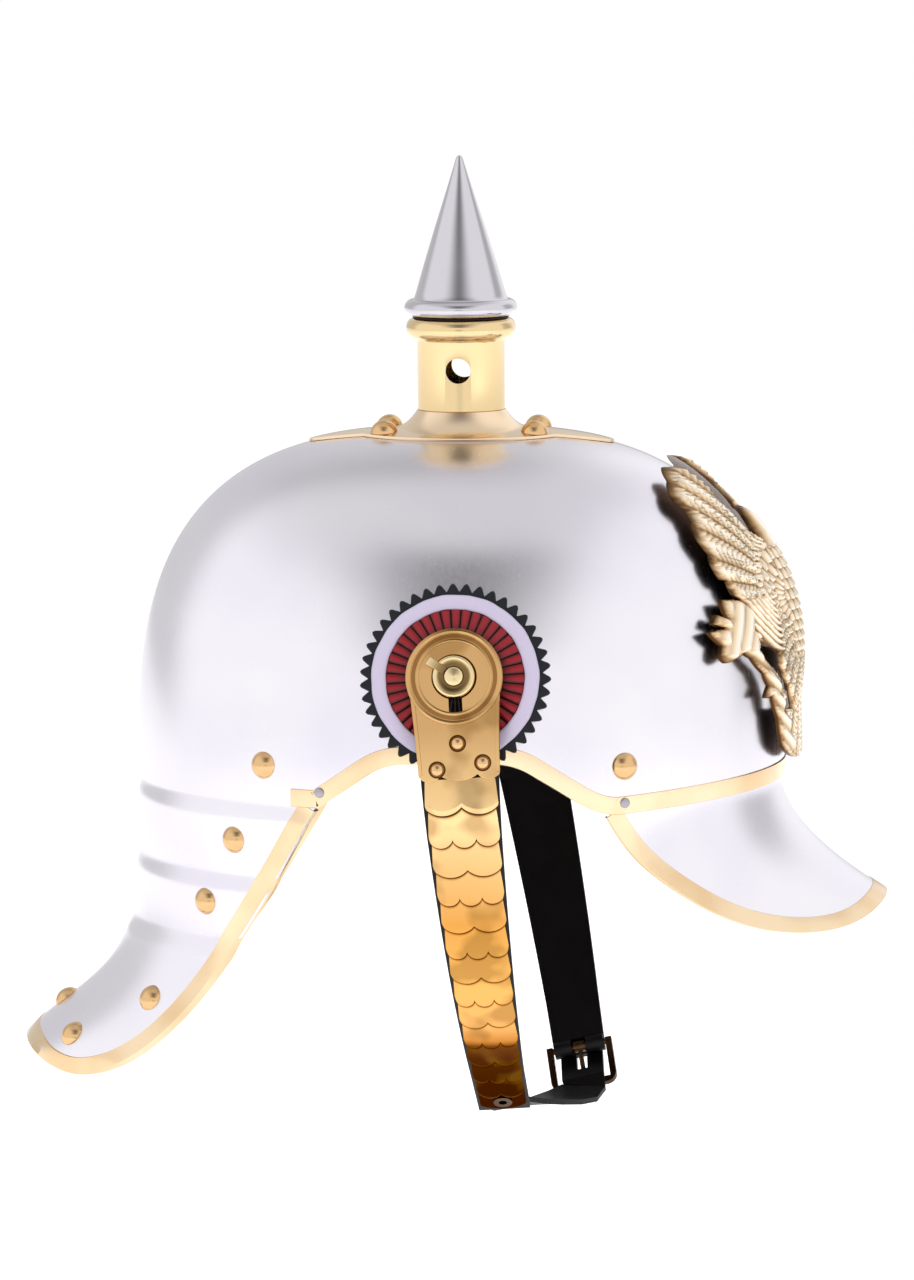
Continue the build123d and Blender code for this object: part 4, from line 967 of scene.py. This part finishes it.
def box_mesh(low, high):
    x0, y0, z0 = low
    x1, y1, z1 = high
    points = [(x, y, z) for z in (z0, z1) for x, y in ((x0, y0), (x1, y0), (x1, y1), (x0, y1))]
    faces = [(3, 2, 1, 0), (4, 5, 6, 7)] + [(i, (i + 1) % 4, (i + 1) % 4 + 4, i + 4) for i in range(4)]
    return np.array(points, float), faces


post_profile = [(0, -4.35), (3.0, -4.35), (3.0, 0), (7.4, 0), (7.4, 1.6), (4.5, 1.6), (4.5, 3.5), (7.4, 3.5)]
post_profile += [(7.4, 10.7), (7.2, 11.1), (6.8, 11.3), (6.3, 11.2), (5.3, 10.6), (4.4, 10.35), (3.6, 10.4)]
post_profile += [(3.4, 10.8), (3.2, 11.2), (2.6, 11.5), (0, 11.7)]
lug = moved(box_mesh((3.6, -1.5, 9.8), (10.6, 1.5, 11.3)), Matrix.Rotation(math.radians(148.0), 4, "Z"))
plain_post = stacked([lathe(post_profile, 72), lug])
post = moved(plain_post, post_seat)
posts = make_object("side_posts_turned", *mirror_pair(post), "brass_post", 40)
post_reach = np.hypot(plain_post[0][:, 0], plain_post[0][:, 1])
CORE_RADIUS, DISH_RADIUS = 3.3, 6.0
post_wear = np.where((post_reach < CORE_RADIUS) | (post_reach > DISH_RADIUS), 1.0, 0.0)
tag(posts, "worn", np.concatenate([post_wear, post_wear]))
soften = posts.modifiers.new("soften", "BEVEL")
soften.width = 0.25 * MM
soften.segments = 2
soften.angle_limit = math.radians(60)
dress(posts, "side_posts")

TEETH, TOOTH_FOOT, TOOTH_DEPTH, POST_BORE = 43, 30.9, 3.0, 4.5


def toothed_disc():
    steps = TEETH * 6
    turns = np.linspace(0, 2 * math.pi, steps, endpoint=False)
    wave = np.abs(((turns * TEETH / (2 * math.pi)) % 1) - 0.5) * 2
    rim = TOOTH_FOOT + TOOTH_DEPTH * np.sin(wave * math.pi / 2) ** 1.3
    rows = [(rim, 1.6), (rim, 2.1), (rim - 0.5, 2.55), (29.0, 2.75), (POST_BORE, 2.75), (POST_BORE, 1.6)]
    cosine, sine = np.cos(turns), np.sin(turns)
    return closed_round(np.array([np.stack([r * cosine, r * sine, np.full(steps, z)], 1) for r, z in rows]))


def white_ring():
    vertices, faces = lathe(
        [
            (24.6, 2.6), (29.6, 2.6), (29.75, 3.2), (29.4, 3.6), (28.6, 3.8), (27.1, 3.85),
            (25.6, 3.8), (24.8, 3.6), (24.5, 3.2), (24.6, 2.6),
        ],
        180,
    )
    turns = np.arctan2(vertices[:, 1], vertices[:, 0])
    swell = 1 + 0.003 * np.sin(11 * turns + 1) + 0.002 * np.sin(23 * turns)
    vertices[:, :2] *= swell[:, None]
    return vertices, faces


PLEATS = 40


def pleated_disc():
    steps = PLEATS * 8
    turns = np.linspace(0, 2 * math.pi, steps, endpoint=False)
    fold = np.abs(((turns * PLEATS / (2 * math.pi)) % 1) - 0.5) * 2
    crease = np.sin(fold * math.pi / 2) ** 0.7
    rows = [(POST_BORE, 2.65, 0.0), (8.0, 2.9, 0.3), (14.0, 3.0, 0.5), (20.0, 3.0, 0.7), (24.2, 3.0, 0.8)]
    rows += [(24.55, 2.65, 0.0)]
    cosine, sine = np.cos(turns), np.sin(turns)
    grid = [np.stack([r * cosine, r * sine, z + rise * crease], 1) for r, z, rise in rows]
    return closed_round(np.array(grid[::-1]))


def pleat_shade_share(vertices):
    """How much painted shade each point of the pleated disc gets: deep in the folds, and near the post under
    the head plate.
    """
    turns = np.arctan2(vertices[:, 1], vertices[:, 0])
    fold = np.abs(((turns * PLEATS / (2 * math.pi)) % 1) - 0.5) * 2
    reach = np.hypot(vertices[:, 0], vertices[:, 1])
    return np.maximum(1 - fold * 1.4, np.clip((15.5 - reach) / 1.5, 0, 1))


cockade = (("disc", toothed_disc(), 40), ("ring", white_ring(), 60), ("centre", pleated_disc(), 30))
for word, stuff, sharp in cockade:
    right = moved(stuff, post_seat)
    for side, piece in (("right", right), ("left", mirrored(right))):
        node = f"cockade_{word}_{side}"
        piece = make_object(node + "_shaped", *piece, SLOT_OF[node], sharp)
        if word == "centre":
            tag(piece, "groove", pleat_shade_share(stuff[0]))
        dress(piece, node)

# Chin straps: head plates and scales
HINGE = post_foot + PLATE_STAND * post_out
SWINGS = {"right": 3.7, "left": 12.5}


def swung(stuff, side):
    """A piece built upright on the right, at its side's rest swing."""
    vertices, faces = mirrored(stuff) if side == "left" else stuff
    turn = math.radians(SWINGS[side])
    x, z = vertices[:, 0] - HINGE[0], vertices[:, 2] - HINGE[2]
    across = HINGE[0] + x * math.cos(turn) - z * math.sin(turn)
    height = HINGE[2] + x * math.sin(turn) + z * math.cos(turn)
    return np.stack([across, vertices[:, 1], height], 1), faces


def flat_plate(loops, gauge, bevel):
    """A flat plate with eased edges from closed outlines, the first one outside."""
    curve = bpy.data.curves.new("plate", "CURVE")
    curve.dimensions = "2D"
    curve.fill_mode = "BOTH"
    curve.extrude = (gauge / 2 - bevel) * MM
    curve.bevel_depth = bevel * MM
    curve.bevel_resolution = 2
    curve.offset = -bevel * MM
    for loop in loops:
        spline = curve.splines.new("POLY")
        spline.points.add(len(loop) - 1)
        for point, (x, y) in zip(spline.points, loop):
            point.co = (x * MM, y * MM, 0, 1)
        spline.use_cyclic_u = True
    maker = bpy.data.objects.new("plate", curve)
    scene.collection.objects.link(maker)
    bpy.context.view_layer.update()
    mesh = bpy.data.meshes.new_from_object(maker.evaluated_get(bpy.context.evaluated_depsgraph_get()))
    vertices = np.array([v.co for v in mesh.vertices]) / MM + np.array([0, 0, gauge / 2])
    faces = [tuple(p.vertices) for p in mesh.polygons]
    bpy.data.objects.remove(maker)
    return vertices, faces


def arc_points(a, b, depth, steps):
    """A round lobe from a to b that hangs below both by a depth."""
    half = (b - a) / 2
    radius = (half**2 + depth**2) / (2 * depth)
    spread = math.asin(min(half / radius, 1))
    middle = (a + b) / 2
    turns = np.linspace(-spread, spread, steps)
    return [(middle + radius * math.sin(t), radius - depth - radius * math.cos(t)) for t in turns]


def lobe_depth(across, width, lobes, depth):
    """How far the scalloped foot hangs at a place across."""
    share = across / width + 0.5
    for a, b in zip(lobes, lobes[1:]):
        if share <= b or b == lobes[-1]:
            half = (b - a) * width / 2
            radius = (half**2 + depth**2) / (2 * depth)
            x = np.clip(across - ((a + b) / 2 - 0.5) * width, -half, half)
            return math.sqrt(max(radius**2 - x**2, 0)) - radius + depth
    return 0.0


def head_outline():
    """Round head, sides drawn in below it and spread again to a foot of three lobes."""
    points = []
    lobes = (0, 0.27, 0.73, 1)
    for a, b in zip(lobes, lobes[1:]):
        run = arc_points((a - 0.5) * 28.5, (b - 0.5) * 28.5, 2.0, 12)
        points += [(x, y - 34.7) for x, y in run]
    points += [(14.3, -33.9), (14.6, -28.0), (15.1, -18.0), (15.8, -6.8)]
    low = math.atan2(-6.8, 15.8)
    points += [(17.2 * math.cos(t), 17.2 * math.sin(t)) for t in np.linspace(low, math.pi - low, 60)[1:-1]]
    points += [(-15.8, -6.8), (-15.1, -18.0), (-14.6, -28.0), (-14.3, -33.9)]
    return points


def keyhole():
    half = 2.3
    turn = math.asin(half / 7.9)
    points = [(7.9 * math.sin(t), -7.9 * math.cos(t)) for t in np.linspace(turn, 2 * math.pi - turn, 48)]
    return points + [(-half, -13.0 + 0.6), (-half + 0.6, -13.0), (half - 0.6, -13.0), (half, -13.0 + 0.6)]


def raised_ring(inner, outer, foot, rise):
    middle, shoulder = (inner + outer) / 2, foot + rise * 0.7
    profile = [(inner, foot), (outer, foot), (outer - 0.1, shoulder), (middle, foot + rise)]
    return lathe(profile + [(inner + 0.1, shoulder), (inner, foot)], 96)


def raised_side(side):
    """A rolled edge down one side of the head plate."""
    spots = [(14.2, -34.2), (14.35, -28.0), (14.85, -18.0), (15.35, -9.5)]
    roll = [(0.2, 0.9), (0.1, 1.5), (-0.5, 1.7), (-1.1, 1.5), (-1.2, 0.9)]
    grid = np.array([[(side * (x + out), y, height) for out, height in roll] for x, y in spots])
    rows, columns = grid.shape[:2]
    last = (rows - 1) * columns
    faces = grid_faces(rows, columns, True)
    faces += [tuple(range(columns)), tuple(last + c for c in reversed(range(columns)))]
    return grid.reshape(-1, 3), faces


plate_seat = post_seat @ Matrix.Translation((0, 0, PLATE_STAND * MM))
HEAD_RIVETS = ((0.0, -23.5), (-7.7, -32.4), (8.5, -30.8))
# A thin ring round each rivet head, a sheet that carries painted shadow
rivet_shadow_ring = raised_ring(2.3, 3.1, 0.95, 0.12)
# Each part with its share of painted shade: the low ring between the two raised rings is a sheet that carries
# painted shade in the groove between them
plate_parts = [
    (flat_plate([head_outline(), keyhole()], 1.0, 0.2), 0.0),
    (raised_ring(15.4, 17.1, 0.9, 0.8), 0.0),
    (raised_ring(13.7, 15.3, 0.95, 0.1), 0.5),
    (raised_ring(12.4, 13.6, 0.9, 0.5), 0.0),
    (raised_side(-1), 0.0),
    (raised_side(1), 0.0),
]
for x, y in HEAD_RIVETS:
    plate_parts.append((moved(rivet_shadow_ring, Matrix.Translation((x * MM, y * MM, 0))), 0.75))
head_plate = stacked([part for part, stain_and_shade in plate_parts])
plate_shade = np.concatenate([np.full(len(part[0]), stain_and_shade) for part, stain_and_shade in plate_parts])
rivet_profile = [(0, 1.6), (1.1, 1.5), (1.9, 1.0), (2.3, 0.3), (2.3, 0), (1.1, 0), (1.1, -3.0), (0, -3.0)]
head_rivet = lathe(rivet_profile, 28)
head_rivets = stacked([moved(head_rivet, Matrix.Translation((x * MM, y * MM, MM))) for x, y in HEAD_RIVETS])
for side in SWINGS:
    piece = swung(moved(head_plate, plate_seat), side)
    piece = make_object(f"head_plate_{side}_pressed", *piece, "scale_brass", 30)
    tag(piece, "lap", plate_shade)
    dress(piece, f"head_plate_{side}")
    rivets = swung(moved(head_rivets, plate_seat), side)
    node = f"head_rivets_{side}"
    dress(make_object(f"{node}_domed", *rivets, SLOT_OF[node], 50), node)

ROW_PITCH, OVERLAP, SCALE_GAUGE, SCALE_GAP, LOBE = 11.9, 4.2, 0.5, 0.12, 2.8
LEAN = math.degrees(WALL_LEAN)
BEND, BEND_ROWS, ROWS = 32.7, 3, 13
HEAD_LENGTH, TOP_WIDTH, FOOT_WIDTH = 36.7, 26.0, 17.0
END_LEANS = {"right": 50.0, "left": 42.0}
END_LENGTHS = {"right": 15.0, "left": 9.0}
ROW_COUNTS = {"right": ROWS, "left": ROWS - 1}


def run_direction(lean):
    turn = math.radians(lean)
    return np.array([math.sin(turn), -math.cos(turn)])


def strap_runs(end_lean, rows, end_length):
    """Corners of the strap's outer face as (inwards, up) from the head plate, and the lean of each run."""
    lean = -LEAN
    leans = [lean]
    corners = [run_direction(lean) * (HEAD_LENGTH - OVERLAP)]
    for row in range(rows):
        lean += BEND / BEND_ROWS if row < BEND_ROWS else (end_lean - BEND + LEAN) / (rows - BEND_ROWS)
        leans.append(lean)
        length = ROW_PITCH if row < rows - 1 else ROW_PITCH + end_length
        corners.append(corners[-1] + run_direction(lean) * length)
    return corners, leans


def run_matrix(point, lean):
    turn = math.radians(lean)
    origin = HINGE + np.array([0, point[0], point[1]])
    return seat_matrix(origin, (0, -math.cos(turn), -math.sin(turn)), (1, 0, 0))


def scale_width(row):
    return TOP_WIDTH + (FOOT_WIDTH - TOP_WIDTH) * row / ROWS


LAP_SHADE_WIDTH = 1.5


def scale_mesh(width, length, lobes, above, top=0.0):
    """One scalloped scale: crowned across, its foot eased over, y down from 0, and how near each point
    lies to the foot of the scale above, as a share of painted shadow; the underside gets full painted shade."""
    columns = 61
    across = np.linspace(-width / 2, width / 2, columns)
    downs = np.concatenate([np.linspace(0, 0.88, 26), [0.92, 0.95, 0.975, 0.99, 1.0]])
    crown = 1.3 * (1 - (2 * across / width) ** 2) - 0.65
    crown -= 0.5 * np.clip((np.abs(2 * across / width) - 0.9) / 0.1, 0, 1) ** 2
    feet = np.array([-(length - LOBE) - lobe_depth(x, width, lobes, LOBE) for x in across])
    covers = np.full(columns, 9.0)
    if above:
        covers = np.array([LOBE - OVERLAP - lobe_depth(x, width * 1.02, above, LOBE) for x in across])
    outer = np.zeros((len(downs), columns, 3))
    inner = np.zeros((len(downs), columns, 3))
    lap = np.zeros((len(downs), columns))
    for row, down in enumerate(downs):
        y = -top + (feet + top) * down
        ease = 0.5 * max((down - 0.82) / 0.18, 0) ** 2.5
        outer[row] = np.stack([across, y, SCALE_GAUGE + crown - ease], 1)
        inner[row] = np.stack([across, y, crown - ease * 0.3], 1)
        # Painted shadow under the foot of the scale above
        lap[row] = np.clip(1 - (covers - y) / LAP_SHADE_WIDTH, 0, 1)
    vertices, faces = shell(outer[::-1], inner[::-1], False)
    return vertices, faces, np.concatenate([lap[::-1].ravel(), np.ones(lap.size)])


def scale_rows(corners, leans):
    lift = 0.0
    pieces = []
    laps = []
    two, three = (0, 1 / 2, 1), (0, 1 / 3, 2 / 3, 1)
    for row in reversed(range(len(leans) - 1)):
        turn = leans[row + 2] - leans[row + 1] if row + 2 < len(leans) else 0.0
        after = math.sin(math.radians(lift - turn)) * OVERLAP
        clear = SCALE_GAUGE + SCALE_GAP
        slope = max(clear / ROW_PITCH, (clear + after) / (ROW_PITCH + OVERLAP))
        lift = math.degrees(math.asin(slope))
        lobes, above = (two, three) if row % 2 == 0 else (three, two)
        top = 3.3 if row == 0 else 0.0
        above = above if row else None
        vertices, faces, lap = scale_mesh(scale_width(row), ROW_PITCH + OVERLAP, lobes, above, top)
        pieces.append(moved((vertices, faces), run_matrix(corners[row], leans[row + 1] - lift)))
        laps.append(lap)
    return pieces, np.concatenate(laps)


runs = {side: strap_runs(END_LEANS[side], ROW_COUNTS[side], END_LENGTHS[side]) for side in SWINGS}
for side, (corners, leans) in runs.items():
    rows, laps = scale_rows(corners, leans)
    piece = make_object(f"chin_scales_{side}_pressed", *swung(stacked(rows), side), "scale_brass", 35)
    tag(piece, "lap", laps)
    dress(piece, f"chin_scales_{side}")


def end_scale_outline():
    points = [(x, y - 11.3) for x, y in arc_points(-7.6, 7.6, 2.4, 20)]
    points += [(8.5, -10.2), (8.5, -0.6), (7.9, 0), (-7.9, 0), (-8.5, -0.6), (-8.5, -10.2)]
    return points


corners, leans = runs["right"]
end_matrix = run_matrix(corners[-1] - run_direction(leans[-1]) * END_LENGTHS["right"], leans[-1])
end_plate = flat_plate([end_scale_outline(), ring_points(2.15, 32, (0, -8.0))], SCALE_GAUGE, 0.12)
end_plate = swung(moved(end_plate, end_matrix), "right")
dress(make_object("end_scale_cut", *end_plate, "scale_brass", 30), "end_scale")

# Front plate: a displayed eagle in feathered relief
EAGLE_HALF_WIDTH, EAGLE_FOOT, EAGLE_HEIGHT, EAGLE_STAND = 58.5, 6.5, 109.0, 4.0
EAGLE_OUTLINE = [
    (0, 0.84), (0.09, 0.82), (0.13, 0.76), (0.16, 0.72), (0.27, 0.77), (0.335, 0.816), (0.335, 0.89),
    (0.318, 0.984), (0.397, 0.988), (0.51, 0.948), (0.63, 0.896), (0.633, 0.86), (0.677, 0.821),
    (0.735, 0.777), (0.742, 0.717), (0.77, 0.691), (0.773, 0.638), (0.74, 0.628), (0.74, 0.579),
    (0.71, 0.564), (0.85, 0.573), (0.855, 0.514), (0.915, 0.53), (0.96, 0.502), (0.895, 0.483),
    (1.0, 0.476), (0.95, 0.43), (0.98, 0.39), (0.957, 0.372), (0.868, 0.385), (0.81, 0.394),
    (0.76, 0.375), (0.667, 0.318), (0.63, 0.274), (0.687, 0.238), (0.605, 0.236), (0.547, 0.161),
    (0.5, 0.067), (0.43, 0.038), (0.16, 0.003), (0, 0),
]
EAGLE_WINDOW = [
    (0.448, 0.185), (0.28, 0.177), (0.318, 0.239), (0.4, 0.285), (0.435, 0.33), (0.43, 0.368),
    (0.503, 0.385), (0.595, 0.405), (0.674, 0.434), (0.694, 0.425), (0.66, 0.37), (0.55, 0.325),
    (0.485, 0.275), (0.445, 0.225),
]


def scalloped(points, bulge):
    """Each side of an outline bowed outwards a little, as feather tips are."""
    out = []
    for (x0, y0), (x1, y1) in zip(points, points[1:]):
        dx, dy = x1 - x0, y1 - y0
        for step in range(5):
            share = step / 5
            bow = bulge * 4 * share * (1 - share)
            out.append((x0 + dx * share - dy * bow, y0 + dy * share + dx * bow))
    return out + [points[-1]]


def inside(points, loop):
    """Which of the points lie inside a closed loop."""
    x, y = points[:, 0], points[:, 1]
    result = np.zeros(len(points), bool)
    for (x0, y0), (x1, y1) in zip(loop, loop[1:] + loop[:1]):
        crosses = (y0 > y) != (y1 > y)
        with np.errstate(divide="ignore", invalid="ignore"):
            place = (x1 - x0) * (y - y0) / (y1 - y0) + x0
        result ^= crosses & (x < place)
    return result


def plumes(reach, turn, edges, spacing):
    """Long feathers between the given turns in degrees: raised crown, quill and slanting barbs."""
    part = np.interp(turn, edges, np.arange(len(edges))) % 1
    crown = np.clip(np.sin(math.pi * part), 0, 1) ** 0.5
    quill = np.exp(-(((part - 0.5) / 0.07) ** 2))
    barbs = 0.5 + 0.5 * np.sin(2 * math.pi * (reach + 7.0 * np.abs(part - 0.5)) / spacing)
    return crown * (0.4 + 0.6 * barbs) * (1 - quill) + quill


def coverts(along, across, length, width):
    """Short rounded feathers in overlapping rows."""
    row = np.floor(along / length)
    cell = (across / width + 0.5 * (row % 2)) % 1
    down = (along / length) % 1
    return np.clip(1.2 - np.hypot((cell - 0.5) * 1.7, down - 0.3) * 1.1, 0, 1)


# Where the wing's feathers fan out from, across and up, the height of the tail's fan, and the hip
SHOULDER, RUMP, HIP = (9.0, 66.0), 60.0, (20.0, 74.0)


def feathered(y, z, gap):
    """The stamped plate's height and how raised its detail is, at places and their gaps from the rim."""
    u, v = np.abs(y), z
    out, up = u - SHOULDER[0], v - SHOULDER[1]
    reach, turn = np.hypot(out, up), np.degrees(np.arctan2(up, out))
    wing = plumes(reach, turn, [-60, -20, 3, 15, 26, 41, 52, 62, 72, 95, 180], 1.9)
    beads = np.abs(np.sin(np.radians(turn) * reach * math.pi / 2.6))
    wing = np.where(np.abs(reach - 21.0) < 1.4, beads, wing)
    wing = np.where(reach < 19.6, coverts(reach, np.radians(turn) * 14.0, 4.6, 4.2), wing)
    fall, sweep = np.hypot(u, RUMP - v), np.degrees(np.arctan2(u, RUMP - v))
    tail = plumes(fall, sweep, np.arange(-5.5, 100, 11), 2.1)
    leg = 0.5 + 0.5 * np.sin(2 * math.pi * np.hypot(u - HIP[0], v - HIP[1]) / 2.3)
    toes = np.clip(gap / 2.4, 0, 1) ** 0.6 * (0.75 + 0.25 * np.sin(2 * math.pi * (u + 0.5 * v) / 4.5))
    stem = np.clip(gap / 2.6, 0, 1) ** 0.6 * (0.65 + 0.35 * np.sin(2 * math.pi * (v - 0.6 * u) / 5.5))
    breast = coverts(v, u, 3.8, 4.0)
    detail = np.where(v > 58.0, wing, tail)
    detail = np.where((u > 23) & (v > 47) & (v < 68), leg, detail)
    detail = np.where((u > 42) & (v < 72) & (v > 44), toes, detail)
    detail = np.where((v < 50) & (u > 14 + 0.45 * v), stem, detail)
    detail = np.where((u < 12.5) & (v > 44) & (v < 84), breast, detail)
    detail = np.where((u < 9) & (v >= 84), np.clip(gap / 3.0, 0, 1), detail)
    body = np.clip(1 - (u / 17.0) ** 2, 0, 1) * np.clip(1 - ((v - 64.0) / 36.0) ** 2, 0, 1)
    thigh = np.clip(1 - np.hypot(u - 34.0, v - 58.0) / 16.0, 0, 1)
    rim = np.clip(gap / 1.2, 0, 1) ** 0.7
    return 0.9 + rim * (0.5 + 1.3 * detail + 4.0 * body + 1.6 * thigh), detail * np.clip(gap / 0.7, 0.3, 1)


def eagle_mesh():
    right = [(y * EAGLE_HALF_WIDTH, EAGLE_FOOT + z * EAGLE_HEIGHT) for y, z in EAGLE_OUTLINE]
    half = scalloped(right, 0.06)
    outline = half + [(-y, z) for y, z in reversed(half[1:-1])]
    window = [(y * EAGLE_HALF_WIDTH, EAGLE_FOOT + z * EAGLE_HEIGHT) for y, z in EAGLE_WINDOW]
    window = scalloped(window + window[:1], 0.02)[:-1]
    loops = [outline, window, [(-y, z) for y, z in window]]
    step = 0.62
    ys, zs = np.meshgrid(np.arange(-60, 60, step), np.arange(4, 118, step * 0.87))
    ys = ys + (np.arange(len(ys)) % 2)[:, None] * step / 2
    field = np.stack([ys.ravel(), zs.ravel()], 1)
    rim = np.array([p for loop in loops for p in loop])
    keep = inside(field, loops[0]) & ~inside(field, loops[1]) & ~inside(field, loops[2])
    field = field[keep]
    near = np.array([np.min(np.hypot(*(rim - p).T)) for p in field])
    field = field[near > step * 0.6]
    points = [Vector(p) for p in rim] + [Vector(p) for p in field]
    edges, start = [], 0
    for loop in loops:
        count = len(loop)
        edges += [(start + i, start + (i + 1) % count) for i in range(count)]
        start += count
    found = delaunay_2d_cdt(points, edges, [], 0, 1e-5)
    flat = np.array([tuple(p) for p in found[0]])
    triangles = np.array(found[2])
    middles = flat[triangles].mean(axis=1)
    keep = inside(middles, loops[0]) & ~inside(middles, loops[1]) & ~inside(middles, loops[2])
    triangles = triangles[keep]
    gap = np.array([np.min(np.hypot(*(rim - p).T)) for p in flat])
    relief, detail = feathered(flat[:, 0], flat[:, 1], gap)
    sides = {}
    for triangle in triangles:
        for a, b in ((0, 1), (1, 2), (2, 0)):
            key = (int(triangle[a]), int(triangle[b]))
            if key[::-1] in sides:
                del sides[key[::-1]]
            else:
                sides[key] = True

    def wrapped(grow):
        length, width = skull_axes(flat[:, 1], EAGLE_STAND + grow)
        x = length * np.sqrt(np.maximum(1 - (flat[:, 0] / width) ** 2, 0))
        return np.stack([x, flat[:, 0], flat[:, 1]], 1)

    count = len(flat)
    outer, back = wrapped(relief), wrapped(0.0)
    faces = [tuple(int(i) for i in t) for t in triangles]
    faces += [tuple(int(i) + count for i in reversed(t)) for t in triangles]
    faces += [(b, a, a + count, b + count) for a, b in sides]
    return np.concatenate([outer, back]), faces, np.concatenate([detail, np.zeros(count)])


*eagle, eagle_detail = eagle_mesh()
eagle = make_object("front_plate_stamped", *eagle, "gilt_brass", 70)
tag(eagle, "raised", eagle_detail)
dress(eagle, "front_plate")

# Bevels that ease the cut edges of leather and of the buckle
BEVELS = {
    "chin_strap_right": 0.45, "chin_strap_left": 0.45, "chin_tongue": 0.4, "buckle_frame": 0.5,
    "liner_lace": 0.3, "base_nuts": 0.2, "side_post_nuts": 0.2, "front_plate_nuts": 0.2, "sweatband": 0.3,
}
for name, width in BEVELS.items():
    soften = nodes[name].modifiers.new("soften", "BEVEL")
    soften.width = width * MM
    soften.segments = 2
    soften.limit_method = "ANGLE"
    soften.angle_limit = math.radians(35)


# Studio: white all round, darker low in front and behind as an unlit room is, and soft lamps
ROOM_LIGHT, OPEN_LIGHT = 1.12, 0.55
# How dark each part of the room is, and over which directions it comes in: its start and where it is full
ROOM_SHADES = {
    "ceiling": (0.3, [("Z", 0.55, 0.95), ("X", 0.7, 0.3)]),
    "doorway": (0.74, [("Z", 0.36, 0.5), ("Z", 0.94, 0.84), ("wide", 0.65, 0.0), ("Y", -0.2, -0.5)]),
    "threshold": (0.45, [("Z", 0.2, 0.05), ("wide", 0.2, 0.05)]),
    "far_wall": (0.36, [("Y", 0.15, 0.5), ("X", 0.25, -0.05)]),
    "side_wall": (0.42, [("X", 0.5, 0.8), ("Y", 0.16, 0.42), ("Z", 0.6, 0.35)]),
}


def make_world():
    world = bpy.data.worlds.new("studio")
    world.use_nodes = True
    scene.world = world
    tree = world.node_tree
    path = add(tree, "ShaderNodeLightPath").outputs
    direction = add(tree, "ShaderNodeTexCoord").outputs["Generated"]
    axes = add(tree, "ShaderNodeSeparateXYZ", [("Vector", direction)]).outputs
    wide = add(tree, "ShaderNodeMath", [("operation", "ABSOLUTE"), (0, axes["X"])]).outputs[0]
    ways = {"X": axes["X"], "Y": axes["Y"], "Z": axes["Z"], "wide": wide}
    room = ROOM_LIGHT
    for depth, fades in ROOM_SHADES.values():
        shade = depth
        for way, start, full in fades:
            run = [("Value", ways[way]), ("From Min", min(start, full)), ("From Max", max(start, full))]
            rise = [("To Min", float(start > full)), ("To Max", float(start < full))]
            kind = [("interpolation_type", "SMOOTHSTEP")]
            fade = add(tree, "ShaderNodeMapRange", kind + run + rise).outputs["Result"]
            darker = [("operation", "MULTIPLY"), (0, shade), (1, fade)]
            shade = add(tree, "ShaderNodeMath", darker).outputs[0]
        left = add(tree, "ShaderNodeMath", [("operation", "SUBTRACT"), (0, 1.0), (1, shade)]).outputs[0]
        room = add(tree, "ShaderNodeMath", [("operation", "MULTIPLY"), (0, room), (1, left)]).outputs[0]
    # The backdrop is white to the camera, polished metal mirrors the room, and the rest gets an even light
    glossy = path["Is Glossy Ray"]
    straight = [("operation", "MAXIMUM"), (0, path["Is Camera Ray"]), (1, path["Is Transmission Ray"])]
    seen = add(tree, "ShaderNodeMath", straight).outputs[0]
    either = add(tree, "ShaderNodeMath", [("operation", "MAXIMUM"), (0, seen), (1, glossy)]).outputs[0]
    others = add(tree, "ShaderNodeMath", [("operation", "SUBTRACT"), (0, 1.0), (1, either)]).outputs[0]
    mirror = add(tree, "ShaderNodeMath", [("operation", "MULTIPLY"), (0, glossy), (1, room)]).outputs[0]
    bright = add(tree, "ShaderNodeMath", [("operation", "MAXIMUM"), (0, seen), (1, mirror)]).outputs[0]
    even = add(tree, "ShaderNodeMath", [("operation", "MULTIPLY"), (0, others), (1, OPEN_LIGHT)]).outputs[0]
    background = tree.nodes["Background"]
    background.inputs["Color"].default_value = (1, 1, 1, 1)
    strength = [("operation", "ADD"), (0, bright), (1, even)]
    add(tree, "ShaderNodeMath", strength, background.inputs["Strength"])


make_world()


def softbox(name, place, size, power):
    light = bpy.data.lights.new(name, "AREA")
    light.shape = "RECTANGLE"
    light.size, light.size_y = size
    light.energy = power
    lamp = bpy.data.objects.new(name, light)
    lamp.location = place
    lamp.rotation_euler = (Vector((0, 0, 0.05)) - Vector(place)).to_track_quat("-Z", "Y").to_euler()
    lamp.visible_glossy = False
    scene.collection.objects.link(lamp)


softbox("key", (-1.3, -1.8, 1.6), (1.2, 1.2), 22)
softbox("fill", (1.8, -1.4, 0.9), (1.0, 1.4), 12)
softbox("back", (0.3, 1.9, 1.5), (1.4, 1.0), 16)

# White paper under the helmet, far enough out to fill the picture, with a glow that keeps it white
FLOOR_REACH, FLOOR_DROP, FLOOR_GLOW = 6.0, 0.3, 0.5
floor_mesh = bpy.data.meshes.new("floor")
corners = [(FLOOR_REACH * x, FLOOR_REACH * y, -FLOOR_DROP) for x, y in ((-1, -1), (1, -1), (1, 1), (-1, 1))]
floor_mesh.from_pydata(corners, [], [(0, 1, 2, 3)])
floor = bpy.data.objects.new("floor", floor_mesh)
scene.collection.objects.link(floor)
floor_paper, tree, shader = new_material("floor_paper", 0xFFFFFF, 0.0, 0.9)
shader.inputs["Emission Color"].default_value = (1, 1, 1, 1)
path = add(tree, "ShaderNodeLightPath").outputs
straight = [("operation", "MAXIMUM"), (0, path["Is Camera Ray"]), (1, path["Is Glossy Ray"])]
seen = add(tree, "ShaderNodeMath", straight).outputs[0]
glow = [("operation", "MULTIPLY"), (0, seen), (1, FLOOR_GLOW)]
add(tree, "ShaderNodeMath", glow, shader.inputs["Emission Strength"])
floor_mesh.materials.append(floor_paper)
